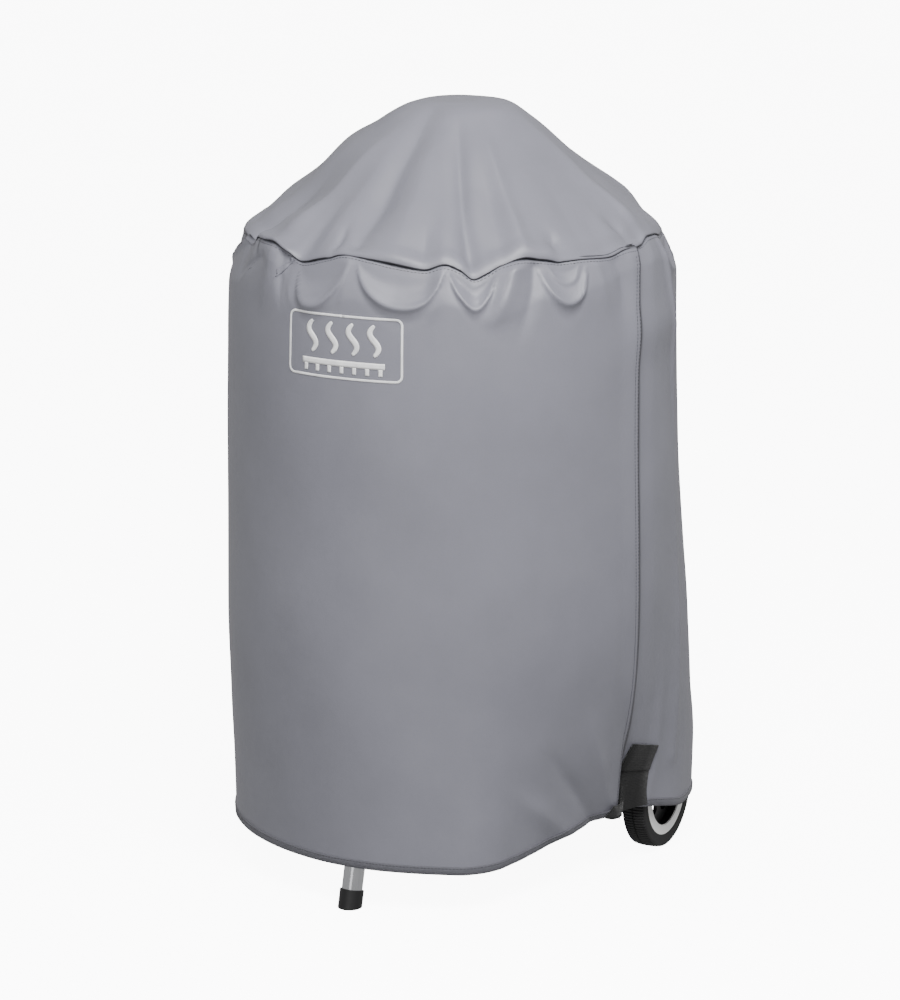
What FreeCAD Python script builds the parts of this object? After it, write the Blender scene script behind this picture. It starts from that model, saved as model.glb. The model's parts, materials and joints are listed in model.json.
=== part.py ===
import FreeCAD, Part
import math
import os

import Sketcher
from FreeCAD import Placement, Rotation, Vector

# Kettle charcoal grill on three legs with two wheels, under its fitted fabric cover.
# Millimetres. +Z up, -Y is the front (single leg), the origin is on the ground below the kettle.

doc = FreeCAD.newDocument("KettleGrill")

sizes = {
    # bowl and lid: two half ellipsoids of enamelled steel that meet at the rim
    "bowlRadius": 235, "bowlDepth": 205, "rimHeight": 690, "shellWall": 1.6, "rimRoll": 3,
    "lidRadius": 238, "lidHeight": 178, "lidBase": 693.4, "lidLip": 3.5,
    "bowlVentInner": 42, "bowlVentLength": 62, "bowlVentWidth": 22, "shaftHole": 6,
    "ventRise": 40, "lipProud": 2,
    # how far a cutting tool runs on past what it cuts, short, middling and long
    "nearSpare": 1, "spare": 5, "farSpare": 20,
    # legs: straight tubes that splay out from the sockets under the bowl
    "legRadius": 12.5, "legWall": 1.5, "legTop": 506, "kneeReach": 125.6, "kneeHeight": 520,
    "frontFootReach": 266, "axleReach": 225, "axleHeight": 74,
    "frontLegEnd": 6, "rearLegEnd": 61, "socketRadius": 15.5, "socketLow": 472, "socketHigh": 556,
    "boreGap": 0.1, "legScrewRadius": 5, "legScrewHeight": 488, "legScrewLength": 20,
    "capRadius": 14.5, "capHeight": 20, "plugFlange": 3, "plugDepth": 7,
    # wheels and axle
    "axleRadius": 4, "axleGap": 0.06, "tyreRadius": 74, "tyreWidth": 30, "tyreInner": 59,
    "shoulderRound": 7, "wheelOuterFace": 242, "rimWidth": 24, "hubRadius": 13, "hubBack": 29,
    "trimInner": 46, "trimThick": 2, "webThick": 5, "spokeCount": 6, "spokeHoleRadius": 9,
    "spokeHoleReach": 28, "hubCapRadius": 12, "hubCapDepth": 7, "washerRadius": 9, "washerThick": 1,
    "hubInset": 1, "hubCapGap": 0.5, "hubCapSkin": 2, "webOverlap": 1,
    # side handles of the bowl
    "gripReach": 257, "gripRadius": 8, "gripHalf": 42, "gripHeight": 678, "armThick": 4,
    "armHeight": 12, "armRoot": 10, "armInset": 2, "screwHead": 4.5, "screwThick": 2.5,
    # grates and the tabs that hold them
    "cookRadius": 222, "cookWire": 3, "cookRod": 2.2, "cookPitch": 17, "cookHeight": 668,
    "coalRadius": 178, "coalWire": 3.5, "coalRod": 3, "coalPitch": 27, "coalHeight": 586,
    "crossReach": 92, "crossDrop": 1.6, "tabWidth": 16, "tabThick": 2.5, "tabOverlap": 9,
    "restGap": 0.3,
    # ash sweeper
    "bladeGap": 0.5, "bladeThick": 2.2, "bladeWidth": 34, "bladeReach": 150, "sweepHub": 16,
    "sweepHubLow": 488, "sweepHubHigh": 496, "shaftRadius": 4.5, "shaftLow": 462, "leverLow": 468,
    "leverThick": 4, "leverWidth": 16, "leverReach": 190, "leverGripRadius": 8, "leverGripLength": 46,
    "pinRadius": 1.5, "pinHeight": 465, "pinProud": 4, "bladeRise": 80, "leverTurn": 60,
    # ash pan and its clips
    "panFloor": 425, "panRim": 451, "panFloorRadius": 88, "panRadius": 117, "panFlange": 123,
    "panWall": 1.5, "clipThick": 2, "clipHeight": 12, "clipReach": 119, "clipWidth": 14,
    # wire rack between the legs
    "rackHeight": 230, "rackRadius": 150, "rackWire": 3, "rackRod": 2.5, "rackPitch": 30,
    # lid fittings: the handle, the damper and the hook
    "lidGripRadius": 10, "lidGripHeight": 907, "lidGripHalf": 41, "postThick": 4, "postWidth": 18,
    "postRoot": 20, "footLong": 14, "footRoot": 12, "footProud": 2,
    "damperReach": 110, "damperRadius": 40, "damperThick": 1.5, "damperGap": 0.8, "ventRadius": 9,
    "ventReach": 24, "ventCount": 3, "rivetRadius": 4, "rivetHead": 8,
    "damperTab": 11, "tabLong": 18, "tabPlate": 2, "tabInset": 8, "rivetGap": 0.4, "rivetLift": 0.05,
    "rivetThick": 2,
    "hookWire": 2.5, "hookDrop": 28, "hookWidth": 46, "hookReach": 196,
    # cover
    "coverRadius": 273, "coverBack": 280, "coverWall": 2, "hemLow": 50, "hemHigh": 60, "hemProud": 1,
    "flareLow": 150, "flareHigh": 450, "shoulderLow": 720, "shoulderMid": 744, "seamHeight": 772,
    "shoulderMidRadius": 262, "seamRadius": 248, "peakHeight": 930, "peakRadius": 52,
    "peakEdgeRadius": 68, "peakEdgeHeight": 919, "domeMidRadius": 128, "domeMidHeight": 871,
    "domeLowRadius": 205, "domeLowHeight": 811, "boxiness": 3.3,
    "strapGap": 0.3, "strapWidth": 50, "strapFront": -25, "strapLow": 61, "strapHigh": 165,
    "strapThick": 3,
}

sheet = doc.addObject("Spreadsheet::Sheet", "Dims")
for row, (alias, value) in enumerate(sizes.items(), start=1):
    sheet.set(f"A{row}", alias)
    sheet.set(f"B{row}", str(value))
    sheet.setAlias(f"B{row}", alias)
doc.recompute()

nodes = []
up = Vector(0, 0, 1)
front_azimuth = -90
rear_azimuths = {"left": 150, "right": 30}
side_sign = {"left": -1, "right": 1}


def size(alias):
    """The value of one cell of the sheet."""
    return float(sheet.get(alias))


def polar(reach, azimuth, height):
    """A point at a distance from the kettle's axis."""
    turn = math.radians(azimuth)
    return Vector(reach * math.cos(turn), reach * math.sin(turn), height)


def facing(at, direction):
    """A placement at a point whose own Z runs along a direction."""
    return Placement(at, Rotation(up, direction))


def add(kind, name, **bound):
    """A document object with each property bound to an expression on the sheet."""
    item = doc.addObject(kind, name)
    for prop, expression in bound.items():
        item.setExpression(prop, expression)
    return item


def cylinder(name, radius, length, at, direction=up):
    """A cylinder from a point along a direction."""
    item = add("Part::Cylinder", name, Radius=radius, Height=length)
    item.Placement = facing(at, direction)
    return item


def rod_between(name, radius, start, end):
    """A round rod from one point to another."""
    item = add("Part::Cylinder", name, Radius=radius)
    item.Height = (end - start).Length
    item.Placement = facing(start, end - start)
    return item


def box(name, low, high, turn=0):
    """A box from its low corner to its high corner, turned about the kettle's axis."""
    item = doc.addObject("Part::Box", name)
    item.Length = high[0] - low[0]
    item.Width = high[1] - low[1]
    item.Height = high[2] - low[2]
    about_axis = Placement(Vector(), Rotation(up, turn))
    item.Placement = about_axis.multiply(Placement(Vector(*low), Rotation()))
    return item


def ellipsoid(name, radius, depth, height, low=-90, high=90):
    """A part of an ellipsoid of revolution about the kettle's axis."""
    item = add("Part::Ellipsoid", name, Radius1=depth, Radius2=radius)
    item.Radius3 = 0
    item.Angle1 = low
    item.Angle2 = high
    item.Placement = Placement(Vector(0, 0, size(height)), Rotation())
    return item


def cut(name, base, tool):
    """One object with another taken away."""
    item = doc.addObject("Part::Cut", name)
    item.Base = base
    item.Tool = tool
    return item


def fuse(name, parts):
    """Several objects as one."""
    item = doc.addObject("Part::MultiFuse", name)
    item.Shapes = parts
    return item


def common(name, first, second):
    """What two objects share."""
    item = doc.addObject("Part::MultiCommon", name)
    item.Shapes = [first, second]
    return item


def together(name, parts):
    """Separate solids that make one group, such as a set of screws."""
    item = doc.addObject("Part::Compound", name)
    item.Links = parts
    return item


def node(label, item):
    """Marks an object as a sub-part with a file of its own."""
    item.Label = label
    nodes.append(item)
    return item


def origin_feature(body, role):
    """A plane or axis of a body's own origin."""
    return [f for f in body.Origin.OriginFeatures if f.Role == role][0]


def outline(body, name, plane, corners):
    """A closed sketch of straight lines. Each corner's place is bound to two expressions."""
    sketch = body.newObject("Sketcher::SketchObject", name)
    sketch.AttachmentSupport = (origin_feature(body, plane), [""])
    sketch.MapMode = "FlatFace"
    count = len(corners)
    places = [[sheet_value(x), sheet_value(y)] for x, y in corners]
    for i in range(count):
        start = Vector(*places[i], 0)
        end = Vector(*places[(i + 1) % count], 0)
        sketch.addGeometry(Part.LineSegment(start, end), False)
    for i in range(count):
        sketch.addConstraint(Sketcher.Constraint("Coincident", i, 2, (i + 1) % count, 1))
    for i, (x, y) in enumerate(corners):
        for kind, expression, axis, value in (
            ("DistanceX", x, -2, places[i][0]),
            ("DistanceY", y, -1, places[i][1]),
        ):
            if value == 0:
                sketch.addConstraint(Sketcher.Constraint("PointOnObject", i, 1, axis))
                continue
            index = sketch.addConstraint(Sketcher.Constraint(kind, -1, 1, i, 1, value))
            sketch.setExpression(f"Constraints[{index}]", expression)
    return sketch


def sheet_value(expression):
    """An expression on the sheet as a number, for a sketch's first shape."""
    names = {f"Dims_{alias}": size(alias) for alias in sizes}
    tree = expression.replace("Dims.", "Dims_")
    total = 0.0
    for term in tree.replace("- ", "+ -").split("+"):
        factor = 1.0
        for piece in term.split("*"):
            word = piece.strip()
            if word.startswith("-"):
                factor = -factor
                word = word[1:].strip()
            factor *= names[word] if word in names else float(word)
        total += factor
    return total


def turned(name, corners):
    """A body of revolution about the kettle's axis, from (radius, height) corners."""
    body = doc.addObject("PartDesign::Body", name)
    sketch = outline(body, name + "Outline", "XZ_Plane", corners)
    spin = body.newObject("PartDesign::Revolution", name + "Turn")
    spin.Profile = sketch
    spin.ReferenceAxis = (sketch, ["V_Axis"])
    spin.Angle = 360
    body.Tip = spin
    return body


# ---------------------------------------------------------------- bowl
def bowl_surface(name, offset, low=-90, high=90):
    """The bowl's outer surface as a solid, or one that lies inside it by an offset."""
    return ellipsoid(
        name, f"Dims.bowlRadius - ({offset})", f"Dims.bowlDepth - ({offset})", "rimHeight", low, high
    )


def build_bowl():
    wall = "Dims.shellWall"
    rim = Vector(0, 0, size("rimHeight"))
    shell = cut("BowlWall", bowl_surface("BowlOuter", "0", -90, 0), bowl_surface("BowlInner", wall))
    roll = add("Part::Torus", "BowlRoll", Radius1="Dims.bowlRadius", Radius2="Dims.rimRoll")
    roll.Placement = Placement(rim, Rotation())
    floor = size("rimHeight") - size("bowlDepth")
    below = floor - size("spare")
    tools = [cylinder("ShaftHole", "Dims.shaftHole", "Dims.bladeWidth", Vector(0, 0, below))]
    inner = size("bowlVentInner")
    half = size("bowlVentWidth") / 2
    for i in range(3):
        low = (inner, -half, below)
        high = (inner + size("bowlVentLength"), half, floor + size("ventRise"))
        tools.append(box(f"BowlVent{i}", low, high, 30 + 120 * i))
    rolled = fuse("BowlRolled", [shell, roll])
    node("bowl_shell", cut("BowlShell", rolled, fuse("BowlHoles", tools)))


def build_supports():
    """Tabs welded to the bowl's wall: four under the cooking grate, four under the charcoal grate."""
    tabs = []
    for grate, wire, turn in (("cook", "cookWire", 45), ("coal", "coalWire", 0)):
        top = size(grate + "Height") - size(wire) - size("restGap")
        inner = size(grate + "Radius") - size("tabOverlap")
        half = size("tabWidth") / 2
        for i in range(4):
            low = (inner, -half, top - size("tabThick"))
            high = (size("bowlRadius"), half, top)
            tabs.append(box(f"{grate}Tab{i}", low, high, turn + 90 * i))
    inside = bowl_surface("TabLimit", "Dims.shellWall")
    node("grate_supports", common("GrateSupports", fuse("Tabs", tabs), inside))


def build_side_handle(side):
    sign = side_sign[side]
    half = size("gripHalf")
    thick = size("armThick")
    reach = size("gripReach")
    middle = size("gripHeight")
    radius = size("gripRadius")
    name = side.capitalize()
    arms = []
    heads = []
    for end in (-1, 1):
        face = end * half
        across = sorted([face, face + end * thick])
        root = size("bowlRadius") - size("armRoot")
        tip = reach + radius - size("armInset")
        along = sorted([sign * root, sign * tip])
        low = (along[0], across[0], middle - size("armHeight") / 2)
        high = (along[1], across[1], middle + size("armHeight") / 2)
        arms.append(box(f"{name}Arm{end + 1}", low, high))
        at = Vector(sign * reach, face + end * thick, middle)
        heads.append(
            cylinder(f"{name}Head{end + 1}", "Dims.screwHead", "Dims.screwThick", at, Vector(0, end, 0))
        )
    bracket = cut(name + "Bracket", fuse(name + "Arms", arms), bowl_surface(name + "Inside", "0"))
    node(f"bowl_handle_bracket_{side}", bracket)
    start = Vector(sign * reach, -half, middle)
    grip = cylinder(name + "Grip", "Dims.gripRadius", "2 * Dims.gripHalf", start, Vector(0, 1, 0))
    node(f"bowl_handle_grip_{side}", grip)
    return heads


# ---------------------------------------------------------------- legs, sockets, caps
def leg_point(azimuth, height):
    """A point on a leg's centre line."""
    knee = size("kneeReach")
    drop = size("kneeHeight") - height
    if azimuth == front_azimuth:
        slope = (size("frontFootReach") - knee) / size("kneeHeight")
    else:
        slope = (size("axleReach") - knee) / (size("kneeHeight") - size("axleHeight"))
    return polar(knee + slope * drop, azimuth, height)


def along_leg(name, radius, azimuth, low, high):
    """A round rod on a leg's centre line between two heights."""
    return rod_between(name, radius, leg_point(azimuth, low), leg_point(azimuth, high))


def axle_line():
    """The axle's centre at the middle of the grill."""
    at = polar(size("axleReach"), rear_azimuths["right"], size("axleHeight"))
    return Vector(0, at.y, at.z)


def axle_bore(name, radius, half):
    """A round bar on the axle's line, as long each way as half."""
    middle = axle_line()
    return rod_between(name, radius, middle - Vector(half, 0, 0), middle + Vector(half, 0, 0))


def build_leg(label, azimuth, low_alias):
    name = "".join(word.capitalize() for word in label.split("_"))
    low = size(low_alias)
    high = size("legTop")
    spare = size("spare")
    outer = along_leg(name + "Tube", "Dims.legRadius", azimuth, low, high)
    inside = "Dims.legRadius - Dims.legWall"
    tools = [along_leg(name + "Hollow", inside, azimuth, low - spare, high + spare)]
    rack_height = size("rackHeight")
    inner_end = polar(size("rackRadius"), azimuth, rack_height)
    outer_end = polar(leg_point(azimuth, rack_height).Length, azimuth, rack_height)
    tools.append(rod_between(name + "RackHole", "Dims.rackWire + Dims.boreGap", inner_end, outer_end))
    if azimuth != front_azimuth:
        axle_radius = "Dims.axleRadius + Dims.boreGap"
        tools.append(axle_bore(name + "AxleHole", axle_radius, size("wheelOuterFace")))
    node(label, cut(name, outer, fuse(name + "Holes", tools)))

    socket_low = size("socketLow")
    socket_high = size("socketHigh")
    bore_end = socket_high + size("farSpare")
    bore = along_leg(name + "Bore", "Dims.legRadius + Dims.boreGap", azimuth, low, bore_end)
    socket = along_leg(name + "SocketTube", "Dims.socketRadius", azimuth, socket_low, socket_high)
    around_bowl = fuse(name + "SocketTools", [bore, bowl_surface(name + "Bowl", "0")])
    socket_label = "leg_socket_" + label.replace("_leg", "").replace("leg_", "")
    node(socket_label, cut(name + "Socket", socket, around_bowl))

    outward = polar(1, azimuth, 0)
    start = leg_point(azimuth, size("legScrewHeight"))
    head = cylinder(name + "ScrewHead", "Dims.legScrewRadius", "Dims.legScrewLength", start, outward)
    limit = along_leg(name + "ScrewLimit", "Dims.socketRadius", azimuth, socket_low, socket_high)
    return cut(name + "Screw", head, limit)


def build_leg_ends():
    """The front leg's cap, flat on the ground, and the plugs in the two rear legs."""
    tall = size("capHeight")
    outer = along_leg("CapOuter", "Dims.capRadius", front_azimuth, -tall, tall)
    bore = along_leg("CapBore", "Dims.legRadius", front_azimuth, size("frontLegEnd"), 2 * tall)
    reach = size("frontFootReach")
    below = box("CapGround", (-reach, -2 * reach, -2 * tall), (reach, reach, 0))
    node("front_leg_cap", cut("FrontLegCap", outer, fuse("CapTools", [bore, below])))
    end = size("rearLegEnd")
    for side, azimuth in rear_azimuths.items():
        name = side.capitalize() + "Plug"
        top = end + size("plugDepth")
        stem = along_leg(name + "Stem", "Dims.legRadius - Dims.legWall", azimuth, end, top)
        flange = along_leg(name + "Flange", "Dims.legRadius", azimuth, end - size("plugFlange"), end)
        node(f"rear_leg_plug_{side}", fuse(name, [stem, flange]))


# ---------------------------------------------------------------- axle and wheels
def build_axle():
    outer = size("wheelOuterFace")
    tip = outer + size("hubCapDepth") - size("hubCapSkin")
    node("axle", axle_bore("Axle", "Dims.axleRadius", tip))
    washers = []
    for side, sign in side_sign.items():
        middle = axle_line()
        inner = outer - size("hubBack") - 2 * size("washerThick")
        start = middle + Vector(sign * inner, 0, 0)
        outward = Vector(sign, 0, 0)
        disc = cylinder(side + "Washer", "Dims.washerRadius", "Dims.washerThick", start, outward)
        hole = axle_bore(side + "WasherHole", "Dims.axleRadius", outer)
        washers.append(cut(side + "WasherRing", disc, hole))
    node("axle_washers", together("AxleWashers", washers))


def wheel_disc(name, radius, start, end, sign):
    """A disc on the axle between two distances inward from the wheel's outer face."""
    face = size("wheelOuterFace")
    middle = axle_line()
    inner = middle + Vector(sign * (face - end), 0, 0)
    outer = middle + Vector(sign * (face - start), 0, 0)
    return rod_between(name, radius, inner, outer)


def build_wheel(side):
    sign = side_sign[side]
    name = side.capitalize()
    wide = size("tyreWidth")
    spare = size("nearSpare")
    blank = wheel_disc(name + "TyreBlank", "Dims.tyreRadius", 0, wide, sign)
    rounded = doc.addObject("Part::Fillet", name + "TyreRound")
    rounded.Base = blank
    shoulder = size("shoulderRound")
    rounded.Edges = [(1, shoulder, shoulder), (3, shoulder, shoulder)]
    hole = wheel_disc(name + "TyreHole", "Dims.tyreInner", -spare, wide + spare, sign)
    node(f"tyre_{side}", cut(name + "Tyre", rounded, hole))

    inset = (wide - size("rimWidth")) / 2
    web = inset + (size("rimWidth") - size("webThick")) / 2
    barrel = wheel_disc(name + "Barrel", "Dims.tyreInner", inset, wide - inset, sign)
    inner_end = wide - inset + spare
    inside = wheel_disc(name + "BarrelInside", "Dims.trimInner", inset - spare, inner_end, sign)
    web_radius = "Dims.trimInner + Dims.webOverlap"
    disc = wheel_disc(name + "Web", web_radius, web, web + size("webThick"), sign)
    hub = wheel_disc(name + "Hub", "Dims.hubRadius", size("hubInset"), size("hubBack"), sign)
    solid = fuse(name + "RimSolid", [cut(name + "BarrelRing", barrel, inside), disc, hub])
    bore_radius = "Dims.axleRadius + Dims.axleGap"
    bore = wheel_disc(name + "HubBore", bore_radius, -spare, wide + spare, sign)
    tools = [bore]
    for i in range(int(size("spokeCount"))):
        turn = math.radians(360 * i / size("spokeCount"))
        reach = size("spokeHoleReach")
        shift = Vector(0, reach * math.cos(turn), reach * math.sin(turn))
        window = wheel_disc(f"{name}Window{i}", "Dims.spokeHoleRadius", -spare, wide + spare, sign)
        window.Placement = Placement(shift, Rotation()).multiply(window.Placement)
        tools.append(window)
    node(f"rim_{side}", cut(name + "Rim", solid, fuse(name + "RimTools", tools)))

    trim_face = inset - size("trimThick")
    plate = wheel_disc(name + "TrimPlate", "Dims.tyreInner", trim_face, inset, sign)
    middle = wheel_disc(name + "TrimHole", "Dims.trimInner", trim_face - spare, inset + spare, sign)
    node(f"trim_ring_{side}", cut(name + "Trim", plate, middle))

    cap_back = -size("hubCapGap")
    cap = wheel_disc(name + "CapBlank", "Dims.hubCapRadius", -size("hubCapDepth"), cap_back, sign)
    tip = size("wheelOuterFace") + size("hubCapDepth") - size("hubCapSkin")
    fit = axle_bore(name + "CapFit", "Dims.axleRadius", tip)
    node(f"hub_cap_{side}", cut(name + "Cap", cap, fit))


# ---------------------------------------------------------------- grates
def build_grate(label, key, crosses):
    """A round wire ring with parallel rods across it, on cross rods."""
    height = size(key + "Height")
    radius = size(key + "Radius")
    pitch = size(key + "Pitch")
    ring = add("Part::Torus", key + "Ring", Radius1=f"Dims.{key}Radius", Radius2=f"Dims.{key}Wire")
    ring.Placement = Placement(Vector(0, 0, height), Rotation())
    parts = [ring]
    rows = int(radius // pitch)
    for i in range(-rows, rows + 1):
        half = math.sqrt(radius**2 - (i * pitch) ** 2)
        start = Vector(i * pitch, -half, height)
        end = Vector(i * pitch, half, height)
        parts.append(rod_between(f"{key}Rod{i + rows}", f"Dims.{key}Rod", start, end))
    drop = size("crossDrop") * size(key + "Rod")
    for i, reach in enumerate(crosses):
        half = math.sqrt(radius**2 - reach**2)
        start = Vector(-half, reach, height - drop)
        end = Vector(half, reach, height - drop)
        parts.append(rod_between(f"{key}Cross{i}", f"Dims.{key}Rod", start, end))
    node(label, fuse(key + "Grate", parts))


# ---------------------------------------------------------------- ash sweeper and ash pan
def build_sweeper():
    outer = bowl_surface("BladeOuter", "Dims.shellWall + Dims.bladeGap")
    inner = bowl_surface("BladeInner", "Dims.shellWall + Dims.bladeGap + Dims.bladeThick")
    half = size("bladeWidth") / 2
    floor = size("rimHeight") - size("bowlDepth")
    low = (2 * size("shaftRadius"), -half, floor)
    high = (size("bladeReach"), half, floor + size("bladeRise"))
    strips = [box(f"BladeStrip{i}", low, high, 90 + 120 * i) for i in range(3)]
    blades = common("Blades", cut("BladeShell", outer, inner), fuse("BladeStrips", strips))
    at = Vector(0, 0, size("sweepHubLow"))
    hub = cylinder("SweepHub", "Dims.sweepHub", "Dims.sweepHubHigh - Dims.sweepHubLow", at)
    node("sweeper_blades", fuse("SweeperBlades", [blades, hub]))
    low_end = Vector(0, 0, size("shaftLow"))
    shaft = cylinder("Shaft", "Dims.shaftRadius", "Dims.sweepHubLow - Dims.shaftLow", low_end)
    pin_reach = size("shaftRadius") + size("pinProud")
    azimuth = front_azimuth + size("leverTurn")
    pin_ends = [polar(end * pin_reach, azimuth, size("pinHeight")) for end in (-1, 1)]
    pin_hole = rod_between("PinHole", "Dims.pinRadius", *pin_ends)
    node("sweeper_shaft", cut("SweeperShaft", shaft, pin_hole))
    node("sweeper_pin", rod_between("SweeperPin", "Dims.pinRadius", *pin_ends))
    wide = size("leverWidth") / 2
    bottom = size("leverLow")
    far_corner = (size("leverReach"), wide, bottom + size("leverThick"))
    blank = box("LeverBlank", (-wide, -wide, bottom), far_corner, azimuth)
    hole = cylinder("LeverHole", "Dims.shaftRadius", "3 * Dims.leverThick", low_end)
    node("sweeper_lever", cut("SweeperLever", blank, hole))
    middle = bottom + size("leverThick") / 2
    start = polar(size("leverReach") - size("leverGripLength") / 2, azimuth, middle)
    outward = polar(1, azimuth, 0)
    grip = cylinder("LeverGripBlank", "Dims.leverGripRadius", "Dims.leverGripLength", start, outward)
    node("sweeper_lever_grip", cut("LeverGrip", grip, blank))


def build_ash_pan():
    wall = "Dims.panWall"
    node("ash_pan", turned("AshPan", [
        ("0", "Dims.panFloor"),
        ("Dims.panFloorRadius", "Dims.panFloor"),
        ("Dims.panRadius", f"Dims.panRim - {wall}"),
        ("Dims.panFlange", f"Dims.panRim - {wall}"),
        ("Dims.panFlange", "Dims.panRim"),
        (f"Dims.panRadius - {wall}", "Dims.panRim"),
        (f"Dims.panFloorRadius - {wall}", f"Dims.panFloor + {wall}"),
        ("0", f"Dims.panFloor + {wall}"),
    ]))
    clips = []
    top = size("panRim") - size("panWall") - size("restGap")
    spare = size("farSpare")
    for i, azimuth in enumerate([front_azimuth, *rear_azimuths.values()]):
        low = top - size("clipHeight")
        high = top + size("clipHeight") / 2
        tube = along_leg(f"ClipTube{i}", "Dims.legRadius + Dims.clipThick", azimuth, low, high)
        leg = along_leg(f"ClipLeg{i}", "Dims.legRadius", azimuth, low - spare, top + spare)
        half = size("clipWidth") / 2
        outward = leg_point(azimuth, top).dot(polar(1, azimuth, 0))
        near_corner = (size("clipReach"), -half, top - size("clipThick"))
        tongue = box(f"ClipTongue{i}", near_corner, (outward, half, top), azimuth)
        clips.append(cut(f"Clip{i}", fuse(f"ClipSolid{i}", [tube, tongue]), leg))
    node("ash_pan_clips", together("AshPanClips", clips))


def build_rack():
    """The wire rack: a ring with rods, and an arm into a hole in each leg."""
    height = size("rackHeight")
    radius = size("rackRadius")
    ring = add("Part::Torus", "RackRing", Radius1="Dims.rackRadius", Radius2="Dims.rackWire")
    ring.Placement = Placement(Vector(0, 0, height), Rotation())
    parts = [ring]
    rows = int(radius // size("rackPitch"))
    for i in range(-rows + 1, rows):
        half = math.sqrt(radius**2 - (i * size("rackPitch")) ** 2)
        start = Vector(-half, i * size("rackPitch"), height)
        end = Vector(half, i * size("rackPitch"), height)
        parts.append(rod_between(f"RackRod{i + rows}", "Dims.rackRod", start, end))
    for i, azimuth in enumerate([front_azimuth, *rear_azimuths.values()]):
        end = leg_point(azimuth, height)
        parts.append(rod_between(f"RackArm{i}", "Dims.rackWire", polar(radius, azimuth, height), end))
    node("wire_rack", fuse("WireRack", parts))


# ---------------------------------------------------------------- lid
def lid_surface(name, offset, low=-90, high=90):
    """The lid's outer surface as a solid, or one that lies inside it by an offset."""
    return ellipsoid(
        name, f"Dims.lidRadius - ({offset})", f"Dims.lidHeight - ({offset})", "lidBase", low, high
    )


def damper_frame():
    """The centre of the damper on the lid's back slope, and the slope's outward normal."""
    reach = size("damperReach")
    rise = size("lidHeight") * math.sqrt(1 - (reach / size("lidRadius")) ** 2)
    normal = Vector(0, reach / size("lidRadius") ** 2, rise / size("lidHeight") ** 2)
    normal.normalize()
    return Vector(0, reach, size("lidBase") + rise), normal


def damper_holes(name, turn):
    """Round vents about the damper's centre, as cutting tools."""
    centre, normal = damper_frame()
    depth = size("farSpare")
    side = Vector(1, 0, 0)
    tools = []
    for i in range(int(size("ventCount"))):
        spin = Rotation(normal, turn + 360 * i / size("ventCount"))
        at = centre + spin.multVec(side) * size("ventReach") - normal * depth
        tools.append(cylinder(f"{name}{i}", "Dims.ventRadius", "2 * Dims.farSpare", at, normal))
    return tools


def build_lid():
    outer = lid_surface("LidOuter", "0", 0, 90)
    shell = cut("LidWall", outer, lid_surface("LidInner", "Dims.shellWall"))
    base = Vector(0, 0, size("lidBase"))
    band = cylinder("LidBand", "Dims.lidRadius + Dims.lipProud", "Dims.lidLip", base)
    hollow = cylinder("LidBandHollow", "Dims.lidRadius - Dims.shellWall", "3 * Dims.lidLip", base - up)
    lip = cut("LidLipRing", band, hollow)
    vents = fuse("LidVents", damper_holes("LidVent", 0))
    node("lid_shell", cut("LidShell", fuse("LidRolled", [shell, lip]), vents))

    wide = size("postWidth") / 2
    inner = size("lidGripHalf")
    outer_face = inner + size("postThick")
    crown = size("lidBase") + size("lidHeight")
    grip_height = size("lidGripHeight")
    post_top = grip_height + size("lidGripRadius") - size("nearSpare")
    posts = []
    heads = []
    for sign in (-1, 1):
        along = sorted([sign * inner, sign * outer_face])
        low = (along[0], -wide, crown - size("postRoot"))
        posts.append(box(f"Post{sign + 1}", low, (along[1], wide, post_top)))
        foot = sorted([sign * inner, sign * (inner - size("footLong"))])
        low = (foot[0], -wide, crown - size("footRoot"))
        posts.append(box(f"Foot{sign + 1}", low, (foot[1], wide, crown + size("footProud"))))
        at = Vector(sign * outer_face, 0, grip_height)
        outward = Vector(sign, 0, 0)
        heads.append(cylinder(f"LidHead{sign + 1}", "Dims.screwHead", "Dims.screwThick", at, outward))
    under = lid_surface("LidUnder", "0")
    node("lid_handle_bracket", cut("LidBracket", fuse("LidPosts", posts), under))
    start = Vector(-inner, 0, grip_height)
    along_x = Vector(1, 0, 0)
    grip = cylinder("LidGrip", "Dims.lidGripRadius", "2 * Dims.lidGripHalf", start, along_x)
    node("lid_handle_grip", grip)
    node("lid_handle_screws", together("LidScrews", heads))


def build_lid_hook():
    """The wire hook inside the lid, by which it hangs from the bowl's rim."""
    reach = size("hookReach")
    half = size("hookWidth") / 2
    rise = size("lidHeight") * math.sqrt(1 - (reach / size("lidRadius")) ** 2)
    top = size("lidBase") + rise
    low = top - size("hookDrop")
    places = [(-half, top), (-half, low), (half, low), (half, top)]
    corners = [Vector(reach, across, height) for across, height in places]
    rods = []
    for i in range(3):
        rods.append(rod_between(f"HookRod{i}", "Dims.hookWire", corners[i], corners[i + 1]))
    for i in (1, 2):
        ball = add("Part::Sphere", f"HookBend{i}", Radius="Dims.hookWire")
        ball.Placement = Placement(corners[i], Rotation())
        rods.append(ball)
    inside = lid_surface("HookLimit", "Dims.shellWall")
    node("lid_hook", common("LidHook", fuse("HookRods", rods), inside))


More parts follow.
